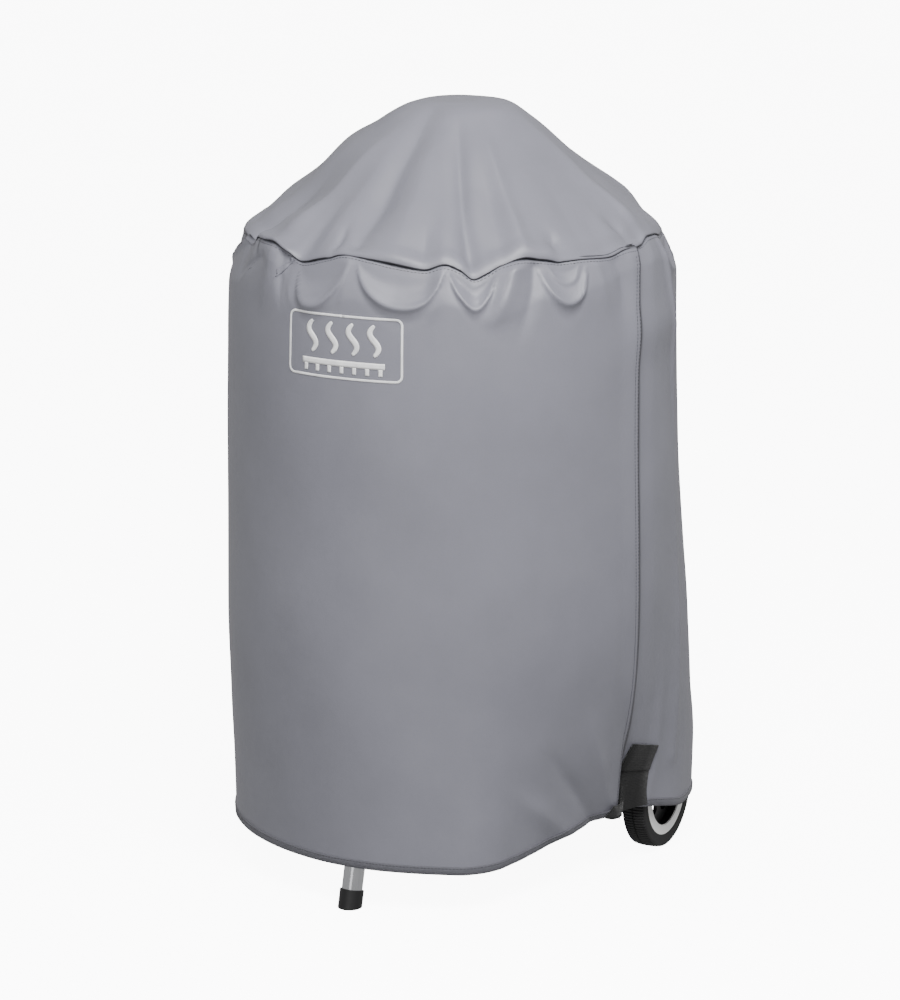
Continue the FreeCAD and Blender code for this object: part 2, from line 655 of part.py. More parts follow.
def build_damper():
    centre, normal = damper_frame()
    lift = size("damperGap")
    face = centre + normal * lift
    disc = cylinder("DamperDisc", "Dims.damperRadius", "Dims.damperThick", face, normal)
    edge = Rotation(up, normal)
    tab = add("Part::Box", "DamperTab", Length="Dims.tabPlate", Width="Dims.tabLong")
    tab.Height = size("damperTab")
    corner = Vector(size("damperRadius") - size("tabInset"), -size("tabLong") / 2, 0)
    tab.Placement = Placement(face + edge.multVec(corner), edge)
    below = centre - normal * size("spare")
    hole = cylinder("DamperPivot", "Dims.rivetRadius + Dims.axleGap", "Dims.farSpare", below, normal)
    tools = damper_holes("DamperVent", 60) + [hole]
    node("lid_damper", cut("LidDamper", fuse("DamperSolid", [disc, tab]), fuse("DamperHoles", tools)))
    above = lift + size("damperThick") + size("rivetGap")
    stem_low = centre + normal * size("rivetLift")
    stem_high = centre + normal * (above + size("nearSpare"))
    stem = rod_between("RivetStem", "Dims.rivetRadius", stem_low, stem_high)
    head = cylinder("RivetHead", "Dims.rivetHead", "Dims.rivetThick", centre + normal * above, normal)
    rivet = fuse("RivetSolid", [stem, head])
    node("lid_damper_rivet", cut("DamperRivet", rivet, lid_surface("RivetLimit", "0")))


# ---------------------------------------------------------------- cover
def cover_section(radius, back, power, height):
    """One level of the cover: round in front, and boxier at the back as the power grows."""
    count = 48
    points = []
    for i in range(count):
        turn = 2 * math.pi * i / count
        c, s = math.cos(turn), math.sin(turn)
        if s <= 0:
            points.append(Vector(radius * c, radius * s, height))
            continue
        reach = (abs(c / radius) ** power + abs(s / back) ** power) ** (-1 / power)
        points.append(Vector(reach * c, reach * s, height))
    curve = Part.BSplineCurve()
    curve.interpolate(Points=points, PeriodicFlag=True)
    return Part.Wire([curve.toShape()])


def cover_levels():
    """Radius, depth at the back, boxiness and height of each level, from the hem to the seam."""
    radius = size("coverRadius")
    back = size("coverBack")
    boxy = size("boxiness")
    return [
        (radius, back, boxy, size("hemHigh")),
        (radius, back, boxy, size("flareLow")),
        (radius, radius, 2, size("flareHigh")),
        (radius, radius, 2, size("shoulderLow")),
        (size("shoulderMidRadius"), size("shoulderMidRadius"), 2, size("shoulderMid")),
        (size("seamRadius"), size("seamRadius"), 2, size("seamHeight")),
    ]


def cover_body(name, inset, spare):
    """The cover's skirt as a loft, smaller all round by an inset."""
    levels = cover_levels()
    sections = []
    for i, (radius, back, power, height) in enumerate(levels):
        shift = {0: -spare, len(levels) - 1: spare}.get(i, 0)
        wire = doc.addObject("Part::Feature", f"{name}Level{i}")
        wire.Shape = cover_section(radius - inset, back - inset, power, height + shift)
        sections.append(wire)
    loft = doc.addObject("Part::Loft", name)
    loft.Sections = sections
    loft.Solid = True
    loft.Ruled = True
    return loft


def build_cover():
    wall = "Dims.coverWall"
    node("cover_top_panel", turned("CoverTop", [
        ("Dims.seamRadius", "Dims.seamHeight"),
        ("Dims.domeLowRadius", "Dims.domeLowHeight"),
        ("Dims.domeMidRadius", "Dims.domeMidHeight"),
        ("Dims.peakEdgeRadius", "Dims.peakEdgeHeight"),
        ("Dims.peakRadius", f"Dims.peakHeight - 1 * {wall}"),
        ("0", "Dims.peakHeight"),
        ("0", f"Dims.peakHeight - {wall}"),
        (f"Dims.peakRadius - {wall}", f"Dims.peakHeight - 2 * {wall}"),
        (f"Dims.peakEdgeRadius - {wall}", f"Dims.peakEdgeHeight - {wall}"),
        (f"Dims.domeMidRadius - {wall}", f"Dims.domeMidHeight - {wall}"),
        (f"Dims.domeLowRadius - {wall}", f"Dims.domeLowHeight - {wall}"),
        (f"Dims.seamRadius - {wall}", "Dims.seamHeight"),
    ]))
    skirt = cut("Skirt", cover_body("SkirtOuter", 0, 0), cover_body("SkirtInner", size("coverWall"), 1))
    far = 2 * size("coverRadius")
    half_spaces = {
        "front": box("FrontHalf", (-far, -far, 0), (far, 0, far * 2)),
        "rear": box("RearHalf", (-far, 0, 0), (far, far, far * 2)),
    }
    for end, half in half_spaces.items():
        node(f"cover_{end}_panel", common(f"Cover{end.capitalize()}", skirt, half))

    low = size("hemLow")
    rings = []
    for name, inset in (("HemOuter", -size("hemProud")), ("HemInner", size("coverWall"))):
        radius = size("coverRadius") - inset
        back = size("coverBack") - inset
        wire = doc.addObject("Part::Feature", name + "Level")
        wire.Shape = cover_section(radius, back, size("boxiness"), low)
        ring = doc.addObject("Part::Extrusion", name)
        ring.Base = wire
        ring.Dir = up
        ring.setExpression("LengthFwd", "Dims.hemHigh - Dims.hemLow")
        ring.Solid = True
        rings.append(ring)
    node("cover_hem_binding", cut("CoverHem", *rings))

    start = size("strapFront")
    for side, sign in side_sign.items():
        face = size("coverRadius") + size("strapGap")
        across = sorted([sign * face, sign * (face + size("strapThick"))])
        low_corner = (across[0], start, size("strapLow"))
        high_corner = (across[1], start + size("strapWidth"), size("strapHigh"))
        node(f"cover_strap_{side}", box(side.capitalize() + "Strap", low_corner, high_corner))


# ---------------------------------------------------------------- the whole grill
build_bowl()
build_supports()
handle_heads = [head for side in side_sign for head in build_side_handle(side)]
node("bowl_handle_screws", together("BowlHandleScrews", handle_heads))
leg_screws = [build_leg("front_leg", front_azimuth, "frontLegEnd")]
for side, azimuth in rear_azimuths.items():
    leg_screws.append(build_leg(f"rear_leg_{side}", azimuth, "rearLegEnd"))
node("leg_screws", together("LegScrews", leg_screws))
build_leg_ends()
build_axle()
for side in side_sign:
    build_wheel(side)
build_grate("cooking_grate", "cook", (-size("crossReach"), size("crossReach")))
build_grate("charcoal_grate", "coal", (-size("crossReach"), size("crossReach")))
build_sweeper()
build_ash_pan()
build_rack()
build_lid()
build_lid_hook()
build_damper()
build_cover()
doc.recompute()

for item in doc.Objects:
    if {"Invalid", "Error"} & set(item.State):
        raise RuntimeError(f"{item.Name} failed: {item.State}")
for item in nodes:
    if item.Shape.isNull() or not item.Shape.isValid():
        raise RuntimeError(f"{item.Label} has no valid shape")

os.makedirs("parts", exist_ok=True)
whole = FreeCAD.BoundBox()
for item in nodes:
    item.Shape.exportStep(f"parts/{item.Label}.step")
    bounds = item.Shape.BoundBox
    whole.add(bounds)
    print(f"{item.Label}: {len(item.Shape.Solids)} solids, volume {item.Shape.Volume:.0f}")
print(f"{len(nodes)} nodes")
print(f"low corner {whole.XMin:.2f} {whole.YMin:.2f} {whole.ZMin:.2f}")
print(f"high corner {whole.XMax:.2f} {whole.YMax:.2f} {whole.ZMax:.2f}")
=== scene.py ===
import json
import math

import bmesh
import bpy
import numpy as np
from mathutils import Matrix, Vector


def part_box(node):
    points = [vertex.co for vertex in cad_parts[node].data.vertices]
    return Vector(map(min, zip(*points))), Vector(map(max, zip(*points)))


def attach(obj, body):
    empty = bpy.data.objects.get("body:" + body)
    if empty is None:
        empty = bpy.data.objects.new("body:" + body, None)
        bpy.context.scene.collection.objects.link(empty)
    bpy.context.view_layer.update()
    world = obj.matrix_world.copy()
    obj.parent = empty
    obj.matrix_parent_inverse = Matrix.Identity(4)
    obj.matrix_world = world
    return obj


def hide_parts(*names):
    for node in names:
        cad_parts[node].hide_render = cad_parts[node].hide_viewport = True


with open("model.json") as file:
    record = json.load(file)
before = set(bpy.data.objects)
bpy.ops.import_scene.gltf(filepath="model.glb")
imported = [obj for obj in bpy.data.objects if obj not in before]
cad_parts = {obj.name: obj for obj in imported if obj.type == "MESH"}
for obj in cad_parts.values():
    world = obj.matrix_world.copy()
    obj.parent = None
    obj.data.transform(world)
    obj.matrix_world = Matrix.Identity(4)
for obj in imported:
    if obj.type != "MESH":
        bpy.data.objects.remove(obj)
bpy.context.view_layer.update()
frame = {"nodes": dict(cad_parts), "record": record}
mm = 0.001

# lengths in the dictionaries are millimetres, turns are degrees round the grill:
# 0 is the front, 90 the right-hand side, 180 the back and -90 the left


def ramp(low, high, value):
    t = np.clip((value - low) / (high - low), 0, 1)
    return t * t * (3 - 2 * t)


def wrapped(turn):
    return (turn + 180) % 360 - 180


def smoothCurve(points, period=None):
    # a curve through given points that never swings past them
    points = sorted(points)
    if period:
        before = [(x - period, y) for x, y in points[-3:]]
        after = [(x + period, y) for x, y in points[:3]]
        points = before + points + after
    xs = np.array([x for x, y in points], float)
    ys = np.array([y for x, y in points], float)
    gaps = np.diff(xs)
    rises = np.diff(ys) / gaps
    steady = rises[:-1] * rises[1:] > 0
    total = np.where(steady, rises[:-1] + rises[1:], 1)
    slopes = np.zeros(len(xs))
    slopes[1:-1] = np.where(steady, 2 * rises[:-1] * rises[1:] / total, 0)

    def valueAt(x):
        x = np.asarray(x, float)
        place = np.clip(np.searchsorted(xs, x) - 1, 0, len(gaps) - 1)
        t = np.clip((x - xs[place]) / gaps[place], 0, 1)
        start = (1 + 2 * t) * (1 - t) ** 2 * ys[place] + t * (1 - t) ** 2 * gaps[place] * slopes[place]
        end = t * t * (3 - 2 * t) * ys[place + 1] + t * t * (t - 1) * gaps[place] * slopes[place + 1]
        return start + end

    return valueAt


foldEdge = {"sharpness": 1.6, "fadeFrom": 0.45}


def nearLine(across, up, line, width):
    # 1 on a drawn line and 0 away from it, fading out towards the line's last point
    nearest = np.full(np.shape(across), np.inf)
    along = np.zeros(np.shape(across))
    count = len(line) - 1
    for index in range(count):
        (x0, y0), (x1, y1) = line[index], line[index + 1]
        dx, dy = x1 - x0, y1 - y0
        t = np.clip(((across - x0) * dx + (up - y0) * dy) / (dx * dx + dy * dy), 0, 1)
        away = np.hypot(across - x0 - t * dx, up - y0 - t * dy)
        closer = away < nearest
        nearest = np.where(closer, away, nearest)
        along = np.where(closer, (index + t) / count, along)
    fade = 1 - ramp(foldEdge["fadeFrom"], 1.0, along)
    return np.exp(-(nearest / width) ** foldEdge["sharpness"]) * fade


def meshPiece(name, points, faces, body, finishOf, smooth=True):
    mesh = bpy.data.meshes.new(name)
    mesh.from_pydata([tuple(point) for point in points], [], faces)
    mesh.update()
    piece = bpy.data.objects.new(name, mesh)
    bpy.context.collection.objects.link(piece)
    for face in mesh.polygons:
        face.use_smooth = smooth
    mesh.materials.append(finishOf)
    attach(piece, body)
    return piece


def gridFaces(rows, columns, closed):
    faces = []
    for row in range(rows - 1):
        for column in range(columns if closed else columns - 1):
            nextColumn = (column + 1) % columns
            here, there = row * columns, (row + 1) * columns
            faces.append((here + column, there + column, there + nextColumn, here + nextColumn))
    return faces


def girthLength(turn):
    # metres round the side, for the weave
    return np.radians(turn) * coverBody["girthRadius"] * mm


def addWeaveMap(piece, across, up):
    # a map in metres of cloth, for the weave
    layer = piece.data.uv_layers.new(name="weave")
    corners = np.zeros(len(piece.data.loops), int)
    piece.data.loops.foreach_get("vertex_index", corners)
    layer.data.foreach_set("uv", np.column_stack([across[corners], up[corners]]).ravel())


def addShade(piece, shade):
    # how near each vertex is to a seam, for the darker seam line: partly the dark thread, partly painted
    # shadow in the seam's gap
    layer = piece.data.attributes.new("seamThreadAndShadow", "FLOAT", "POINT")
    layer.data.foreach_set("value", shade)


def thicken(piece, thickness, offset=-1.0):
    solid = piece.modifiers.new("thickness", "SOLIDIFY")
    solid.thickness = thickness * mm
    solid.offset = offset
    solid.use_even_offset = False


def place(turn, radius, height):
    # millimetres round the grill's axis to metres
    angle = np.radians(turn)
    x = np.sin(angle) * radius
    y = -np.cos(angle) * radius
    return np.column_stack([np.ravel(x), np.ravel(y), np.ravel(height + 0 * radius)]) * mm


class Wire:
    # a socket that can be used in sums
    def __init__(self, finish, socket):
        self.finish = finish
        self.socket = socket

    def __add__(self, other):
        return self.finish.maths("ADD", self, other)

    def __mul__(self, other):
        return self.finish.maths("MULTIPLY", self, other)

    def __sub__(self, other):
        return self.finish.maths("SUBTRACT", self, other)

    def __rsub__(self, other):
        return self.finish.maths("SUBTRACT", other, self)

    __radd__ = __add__
    __rmul__ = __mul__


class Finish:
    def __init__(self, name):
        self.material = bpy.data.materials.new(name)
        self.material.use_nodes = True
        self.tree = self.material.node_tree
        self.shader = self.tree.nodes["Principled BSDF"]

    def node(self, kind, settings=None, inputs=None, output=0):
        made = self.tree.nodes.new(kind)
        for name, value in (settings or {}).items():
            setattr(made, name, value)
        for name, value in (inputs or {}).items():
            self.feed(made.inputs[name], value)
        return Wire(self, made.outputs[output])

    def feed(self, socket, value):
        if isinstance(value, Wire):
            self.tree.links.new(value.socket, socket)
        else:
            socket.default_value = value

    def maths(self, operation, first, second):
        return self.node("ShaderNodeMath", {"operation": operation}, {0: first, 1: second})

    def sine(self, wave):
        return self.node("ShaderNodeMath", {"operation": "SINE"}, {0: wave})

    def clamp(self, value, low=0.0, high=1.0):
        return self.node("ShaderNodeClamp", None, {"Value": value, "Min": low, "Max": high})

    def mix(self, factor, first, second):
        settings = {"data_type": "RGBA"}
        return self.node("ShaderNodeMix", settings, {0: factor, 6: first, 7: second}, 2)

    def place(self, stretch=(1, 1, 1)):
        coordinates = self.node("ShaderNodeTexCoord", output=3)
        return self.node("ShaderNodeMapping", None, {"Vector": coordinates, "Scale": stretch})

    def noise(self, scale, detail=3.0, roughness=0.5, stretch=(1, 1, 1)):
        inputs = {"Vector": self.place(stretch), "Scale": scale, "Detail": detail, "Roughness": roughness}
        return self.node("ShaderNodeTexNoise", None, inputs)

    def levels(self, value, low, high):
        inputs = {"Value": value, "From Min": low, "From Max": high}
        return self.node("ShaderNodeMapRange", None, inputs)

    def bump(self, height, distance, strength=1.0, under=None):
        inputs = {"Height": height, "Distance": distance, "Strength": strength}
        if under:
            inputs["Normal"] = under
        return self.node("ShaderNodeBump", None, inputs)

    def set(self, **values):
        # shader sockets by name, with _ for a space
        for name, value in values.items():
            self.feed(self.shader.inputs[name.replace("_", " ")], value)
        return self.material


def colour(red, green, blue):
    # screen values of 0 to 255 to the shader's linear ones
    def linear(value):
        part = value / 255
        return part / 12.92 if part <= 0.04045 else ((part + 0.055) / 1.055) ** 2.4
    return (linear(red), linear(green), linear(blue), 1)


studioFloorGlow = 10.0
clothLook = {
    "dark": (110, 110, 119),
    "light": (130, 130, 140),
    # colour of the seam lines: partly dark thread, partly painted shadow of the seam gaps
    "seam": (20, 20, 24),
    "threadPitch": 0.9,
    "roughness": 0.41,
    "specular": 0.55,
    # noise scales, and the height in metres of creases and of the weave
    "patches": 5.0,
    "creases": 26.0,
    "grain": 900.0,
    "creaseRelief": 0.0011,
    "weaveRelief": 0.00012,
}


def coatedCloth():
    finish = Finish("coatedCloth")
    patches = finish.noise(clothLook["patches"], 4.0, 0.55)
    creases = finish.noise(clothLook["creases"], 5.0, 0.6, (1, 1, 0.55))
    grain = finish.noise(clothLook["grain"], 2.0)
    weaveMap = finish.node("ShaderNodeUVMap", {"uv_map": "weave"})
    across = finish.node("ShaderNodeSeparateXYZ", None, {0: weaveMap}, 0)
    up = finish.node("ShaderNodeSeparateXYZ", None, {0: weaveMap}, 1)
    turns = 2 * math.pi / (clothLook["threadPitch"] * mm)
    weave = finish.sine(across * turns) * finish.sine(up * turns)
    shade = finish.levels(patches, 0.3, 0.7) * 0.45 + grain * 0.35 + weave * 0.10 + creases * 0.15
    cloth = finish.mix(finish.clamp(shade), colour(*clothLook["dark"]), colour(*clothLook["light"]))
    # darker along the seams: partly the dark thread, partly painted shadow in the seam gaps and grooves
    seam = finish.node("ShaderNodeAttribute", {"attribute_name": "seamThreadAndShadow"}, None, 2)
    coloured = finish.mix(finish.clamp(seam), cloth, colour(*clothLook["seam"]))
    soft = finish.bump(creases, clothLook["creaseRelief"], 0.5)
    woven = finish.bump(weave * 0.5 + grain * 0.6, clothLook["weaveRelief"], 0.5, soft)
    finish.set(Base_Color=coloured, Normal=woven)
    finish.set(Roughness=finish.clamp(grain * 0.16 + patches * 0.10 + clothLook["roughness"] - 0.13))
    return finish.set(Specular_IOR_Level=clothLook["specular"])


def tapeCloth(name, tone, pitch):
    # ribbed edging and belt webbing
    finish = Finish(name)
    grain = finish.noise(700.0, 3.0)
    weaveMap = finish.node("ShaderNodeUVMap", {"uv_map": "weave"})
    up = finish.node("ShaderNodeSeparateXYZ", None, {0: weaveMap}, 1)
    across = finish.node("ShaderNodeSeparateXYZ", None, {0: weaveMap}, 0)
    ribs = finish.sine(up * (2 * math.pi / (pitch * mm)))
    twill = finish.sine((across + up) * (2 * math.pi / (0.6 * pitch * mm)))
    dark = tuple(value * 0.72 for value in tone)
    body = finish.mix(finish.clamp(ribs * 0.25 + grain * 0.5 + 0.2), colour(*dark), colour(*tone))
    relief = finish.bump(ribs * 0.6 + twill * 0.3 + grain * 0.3, 0.00025, 0.7)
    finish.set(Base_Color=body, Normal=relief, Roughness=finish.clamp(grain * 0.2 + 0.62))
    return finish.set(Sheen_Weight=0.15, Specular_IOR_Level=0.3)


def threadFinish():
    finish = Finish("stitchThread")
    grain = finish.noise(1500.0, 2.0)
    twist = finish.mix(grain, colour(44, 44, 48), colour(78, 78, 84))
    return finish.set(Base_Color=twist, Roughness=finish.clamp(grain * 0.2 + 0.5),
                      Normal=finish.bump(grain, 0.0001, 0.5))


def printInk():
    finish = Finish("printInk")
    grain = finish.noise(800.0, 3.0)
    worn = finish.noise(60.0, 4.0, 0.6)
    ink = finish.mix(finish.levels(worn, 0.25, 0.6), colour(214, 214, 216), colour(240, 240, 240))
    return finish.set(Base_Color=ink, Roughness=finish.clamp(grain * 0.2 + 0.45),
                      Normal=finish.bump(grain, 0.0001, 0.4))


def blackEnamel():
    finish = Finish("blackEnamel")
    peel = finish.noise(220.0, 2.0)
    dust = finish.noise(14.0, 5.0, 0.6)
    speck = finish.noise(900.0, 2.0)
    base = finish.mix(finish.levels(dust, 0.35, 0.8), colour(12, 12, 13), colour(24, 24, 26))
    return finish.set(Base_Color=base, Roughness=finish.clamp(dust * 0.14 + speck * 0.06 + 0.10),
                      Normal=finish.bump(peel, 0.00015, 0.35), Coat_Weight=0.5)


def brightMetal(name, tone, roughness, stretch, scratch=0.0002, metallic=1.0):
    # drawn, brushed or plated metal: the grain runs across the stretched direction
    finish = Finish(name)
    drawn = finish.noise(60.0, 6.0, 0.7, stretch)
    cloud = finish.noise(9.0, 4.0)
    dark = tuple(value * 0.80 for value in tone)
    base = finish.mix(finish.clamp(drawn * 0.6 + cloud * 0.4), colour(*dark), colour(*tone))
    return finish.set(Base_Color=base, Metallic=metallic,
                      Roughness=finish.clamp(drawn * 0.16 + cloud * 0.10 + roughness - 0.12),
                      Normal=finish.bump(drawn, scratch, 0.35))


def mouldedPlastic(name, tone, roughness, relief=0.00012):
    finish = Finish(name)
    pebble = finish.noise(650.0, 2.0)
    cloud = finish.noise(12.0, 4.0, 0.6)
    scuff = finish.noise(90.0, 6.0, 0.75)
    bright = tuple(min(value * 1.3 + 4, 250) for value in tone)
    mask = finish.clamp(finish.levels(scuff, 0.55, 0.8) * 0.5 + cloud * 0.35)
    base = finish.mix(mask, colour(*tone), colour(*bright))
    return finish.set(Base_Color=base, Normal=finish.bump(pebble, relief, 0.6),
                      Roughness=finish.clamp(pebble * 0.12 + scuff * 0.14 + roughness - 0.12))


def tyreRubber():
    finish = Finish("tyreRubber")
    grain = finish.noise(500.0, 3.0)
    dust = finish.noise(30.0, 5.0, 0.6)
    base = finish.mix(finish.levels(dust, 0.35, 0.75), colour(12, 12, 13), colour(26, 26, 28))
    return finish.set(Base_Color=base, Normal=finish.bump(grain, 0.0002, 0.5),
                      Roughness=finish.clamp(dust * 0.15 + grain * 0.1 + 0.55))


def paleFloor():
    finish = Finish("paleFloor")
    cloud = finish.noise(1.2, 3.0)
    base = finish.mix(cloud, colour(246, 246, 247), colour(252, 252, 252))
    return finish.set(Base_Color=base, Roughness=finish.clamp(cloud * 0.1 + 0.75),
                      Emission_Color=base, Emission_Strength=studioFloorGlow)


clothFinish = coatedCloth()
hemFinish = tapeCloth("hemTape", (104, 104, 112), 1.4)
webbingFinish = tapeCloth("beltWebbing", (17, 17, 18), 2.2)
threadLook = threadFinish()
inkFinish = printInk()
tyreFinish = tyreRubber()
finishOfSlot = {
    "enamel": blackEnamel(),
    "plated_wire": brightMetal("platedWire", (196, 198, 200), 0.28, (3, 3, 0.3)),
    "steel_strap": brightMetal("steelStrap", (60, 60, 62), 0.42, (1, 1, 1), 0.0002, 0.7),
    "bright_fastener": brightMetal("brightFastener", (208, 209, 212), 0.24, (1, 1, 1)),
    "leg_aluminium": brightMetal("legAluminium", (216, 217, 220), 0.2, (9, 9, 0.12), 0.00006),
    "pan_aluminium": brightMetal("panAluminium", (190, 192, 195), 0.34, (0.5, 6, 6)),
    "sweeper_steel": brightMetal("sweeperSteel", (150, 152, 156), 0.36, (0.4, 5, 5)),
    "black_nylon": mouldedPlastic("blackNylon", (10, 10, 11), 0.48),
    "wheel_plastic": mouldedPlastic("wheelPlastic", (14, 14, 15), 0.46),
    "white_trim": mouldedPlastic("whiteTrim", (244, 244, 242), 0.36, 0.00005),
    "tyre_rubber": tyreFinish,
    "cover_fabric": clothFinish,
    "hem_tape": hemFinish,
    "webbing": webbingFinish,
}
for entry in frame["record"]["subparts"]:
    node = frame["nodes"][entry["node"]]
    node.data.materials.clear()
    node.data.materials.append(finishOfSlot[entry["material_slot"]])
print("finishes made")


coverBody = {
    # height, radius of the round front, half depth and squareness of the back
    "levels": [
        (40, 266, 278, 3.3),
        (120, 267, 278.5, 3.3),
        (200, 270.5, 278.5, 2.9),
        (312, 273, 276.5, 2.5),
        (438, 272.5, 272.5, 2.2),
        (562, 271.5, 272, 2.05),
        (648, 270, 271, 2.0),
        (721, 266.5, 269, 2.0),
        (770, 262, 265, 2.0),
    ],
    "seamRadius": 247,
    # how far the seam stands out beyond that, and how far below it the shoulder turns down
    "seamOut": [
        (-170, 2), (-120, 3), (-90, 2), (-60, 0), (-44, 0), (-37, 3), (-30, 8), (-23, 7), (-16, 0),
        (0, 0), (30, 0), (55, 0), (61, 3), (68, 7), (78, 8), (86, 6), (93, 3), (110, 1), (150, 2),
    ],
    "shoulder": [
        (-175, 50), (-150, 42), (-120, 48), (-95, 42), (-75, 56), (-55, 54), (-44, 44), (-37, 26),
        (-30, 18), (-23, 22), (-17, 44), (-10, 54), (-3, 50), (2, 44), (8, 46), (13, 50), (20, 44),
        (26, 40), (32, 38), (38, 52), (44, 52), (50, 40), (57, 44), (63, 34), (70, 26), (80, 22),
        (90, 24), (100, 30), (120, 46), (150, 42),
    ],
    # cloth held off by the bowl's side handles
    "handleHeight": 678,
    "handleOut": 5,
    # height of the seam that joins the dome to the sides
    "seam": [
        (-174, 771), (-166, 778), (-157, 772), (-145, 782), (-134, 774), (-122, 779), (-110, 771),
        (-100, 776), (-90, 780), (-82, 778), (-72, 776), (-62, 775), (-54, 778), (-48, 777), (-44, 773),
        (-41, 775), (-36, 785), (-27, 785), (-21, 776), (-17, 767), (-9, 775), (-2, 783), (5, 779),
        (13, 773), (20, 770), (25, 776), (29, 770), (33, 760), (36, 765), (40, 775), (45, 780),
        (52, 777), (57, 774), (64, 775), (72, 773), (79, 778), (88, 777), (92, 783), (98, 782),
        (107, 775), (117, 776), (128, 771), (139, 780), (150, 774), (161, 783), (172, 776),
    ],
    # height of the hem's lower edge
    "hem": [
        (-176, 50), (-100, 50), (-94, 55), (-88, 57), (-80, 54), (-70, 50), (-20, 50), (20, 50),
        (38, 50), (45, 52), (51, 57), (59, 63), (66, 69), (77, 73), (89, 75), (95, 75), (99, 73),
        (104, 68), (112, 59), (121, 55), (129, 52), (140, 50), (160, 50),
    ],
    # how far the hem is drawn in from its full radius
    "drawn": [
        (-176, 0), (-125, 0), (-104, 3), (-96, 8), (-88, 10), (-78, 6), (-66, 0), (-20, 0), (10, 0),
        (28, 0), (34, 2), (39, 10), (45, 24), (52, 33), (59, 41), (66, 43), (77, 45), (87, 44),
        (93, 35), (98, 24), (103, 12), (108, 4), (114, 0), (150, 0),
    ],
    "drawnHeight": 300,
    "drawnPower": 1.9,
    "drawnMost": 1.2,
    "shoulderReach": 1.15,
    "shoulderPower": 1.5,
    # the radius at which lengths round the side are measured, and the shallow waves' fade from the seam
    "girthRadius": 268,
    "calmDrop": 45,
    "foldDrop": (1, 12),
    # half width in degrees and half height of the bump over each side handle
    "handleHalfTurn": 13,
    "handleHalfHeight": 30,
}
bodyLevels = coverBody["levels"]
roundCurve = smoothCurve([(row[0], row[1]) for row in bodyLevels])
depthCurve = smoothCurve([(row[0], row[2]) for row in bodyLevels])
squareCurve = smoothCurve([(row[0], row[3]) for row in bodyLevels])
seamCurve = smoothCurve(coverBody["seam"], 360)
hemCurve = smoothCurve(coverBody["hem"], 360)
drawnCurve = smoothCurve(coverBody["drawn"], 360)
seamOutCurve = smoothCurve(coverBody["seamOut"], 360)
shoulderCurve = smoothCurve(coverBody["shoulder"], 360)

# down a sag, as parts of its drop: where each swell or dip lies, its spread and its share of the roll
sagShape = {
    "rim": (0.92, 0.36, 0.2),
    "rimPower": 1.5,
    "ridge": (0.98, 0.07, 0.28),
    "valley": (0.82, 0.07, 0.16),
    "hollow": (0.56, 0.24),
    "below": (1.3, 0.16, 0.1),
    "narrowest": 0.02,
    "starts": (3, 14),
}
# scalloped sags that hang from the seam: roll is their raised rim, hollow the slack inside it
swags = [
    {"turn": -9, "half": 8.5, "drop": 56, "roll": 6.0, "hollow": 2.2},
    {"turn": 13.2, "half": 12, "drop": 48, "roll": 6.5, "hollow": 2.4},
    {"turn": 32.2, "half": 6.3, "drop": 36, "roll": 5.5, "hollow": 3.4},
    {"turn": 57, "half": 7.2, "drop": 49, "roll": 6.0, "hollow": 2.2},
    {"turn": 57.5, "half": 5.0, "drop": 27, "roll": 2.4, "hollow": 1.4},
    {"turn": 106, "half": 8.0, "drop": 44, "roll": 3.0, "hollow": 3.5},
    {"turn": 128, "half": 10, "drop": 52, "roll": 4.0, "hollow": 4.5},
    {"turn": 151, "half": 8.0, "drop": 40, "roll": 3.5, "hollow": 4.0},
    {"turn": 172, "half": 11, "drop": 50, "roll": 4.0, "hollow": 4.5},
    {"turn": -158, "half": 9.0, "drop": 46, "roll": 3.5, "hollow": 4.0},
    {"turn": -134, "half": 10, "drop": 54, "roll": 4.0, "hollow": 4.5},
    {"turn": -111, "half": 8.0, "drop": 42, "roll": 3.5, "hollow": 3.5},
    {"turn": -68, "half": 7.0, "drop": 40, "roll": 0.8, "hollow": 1.0},
]

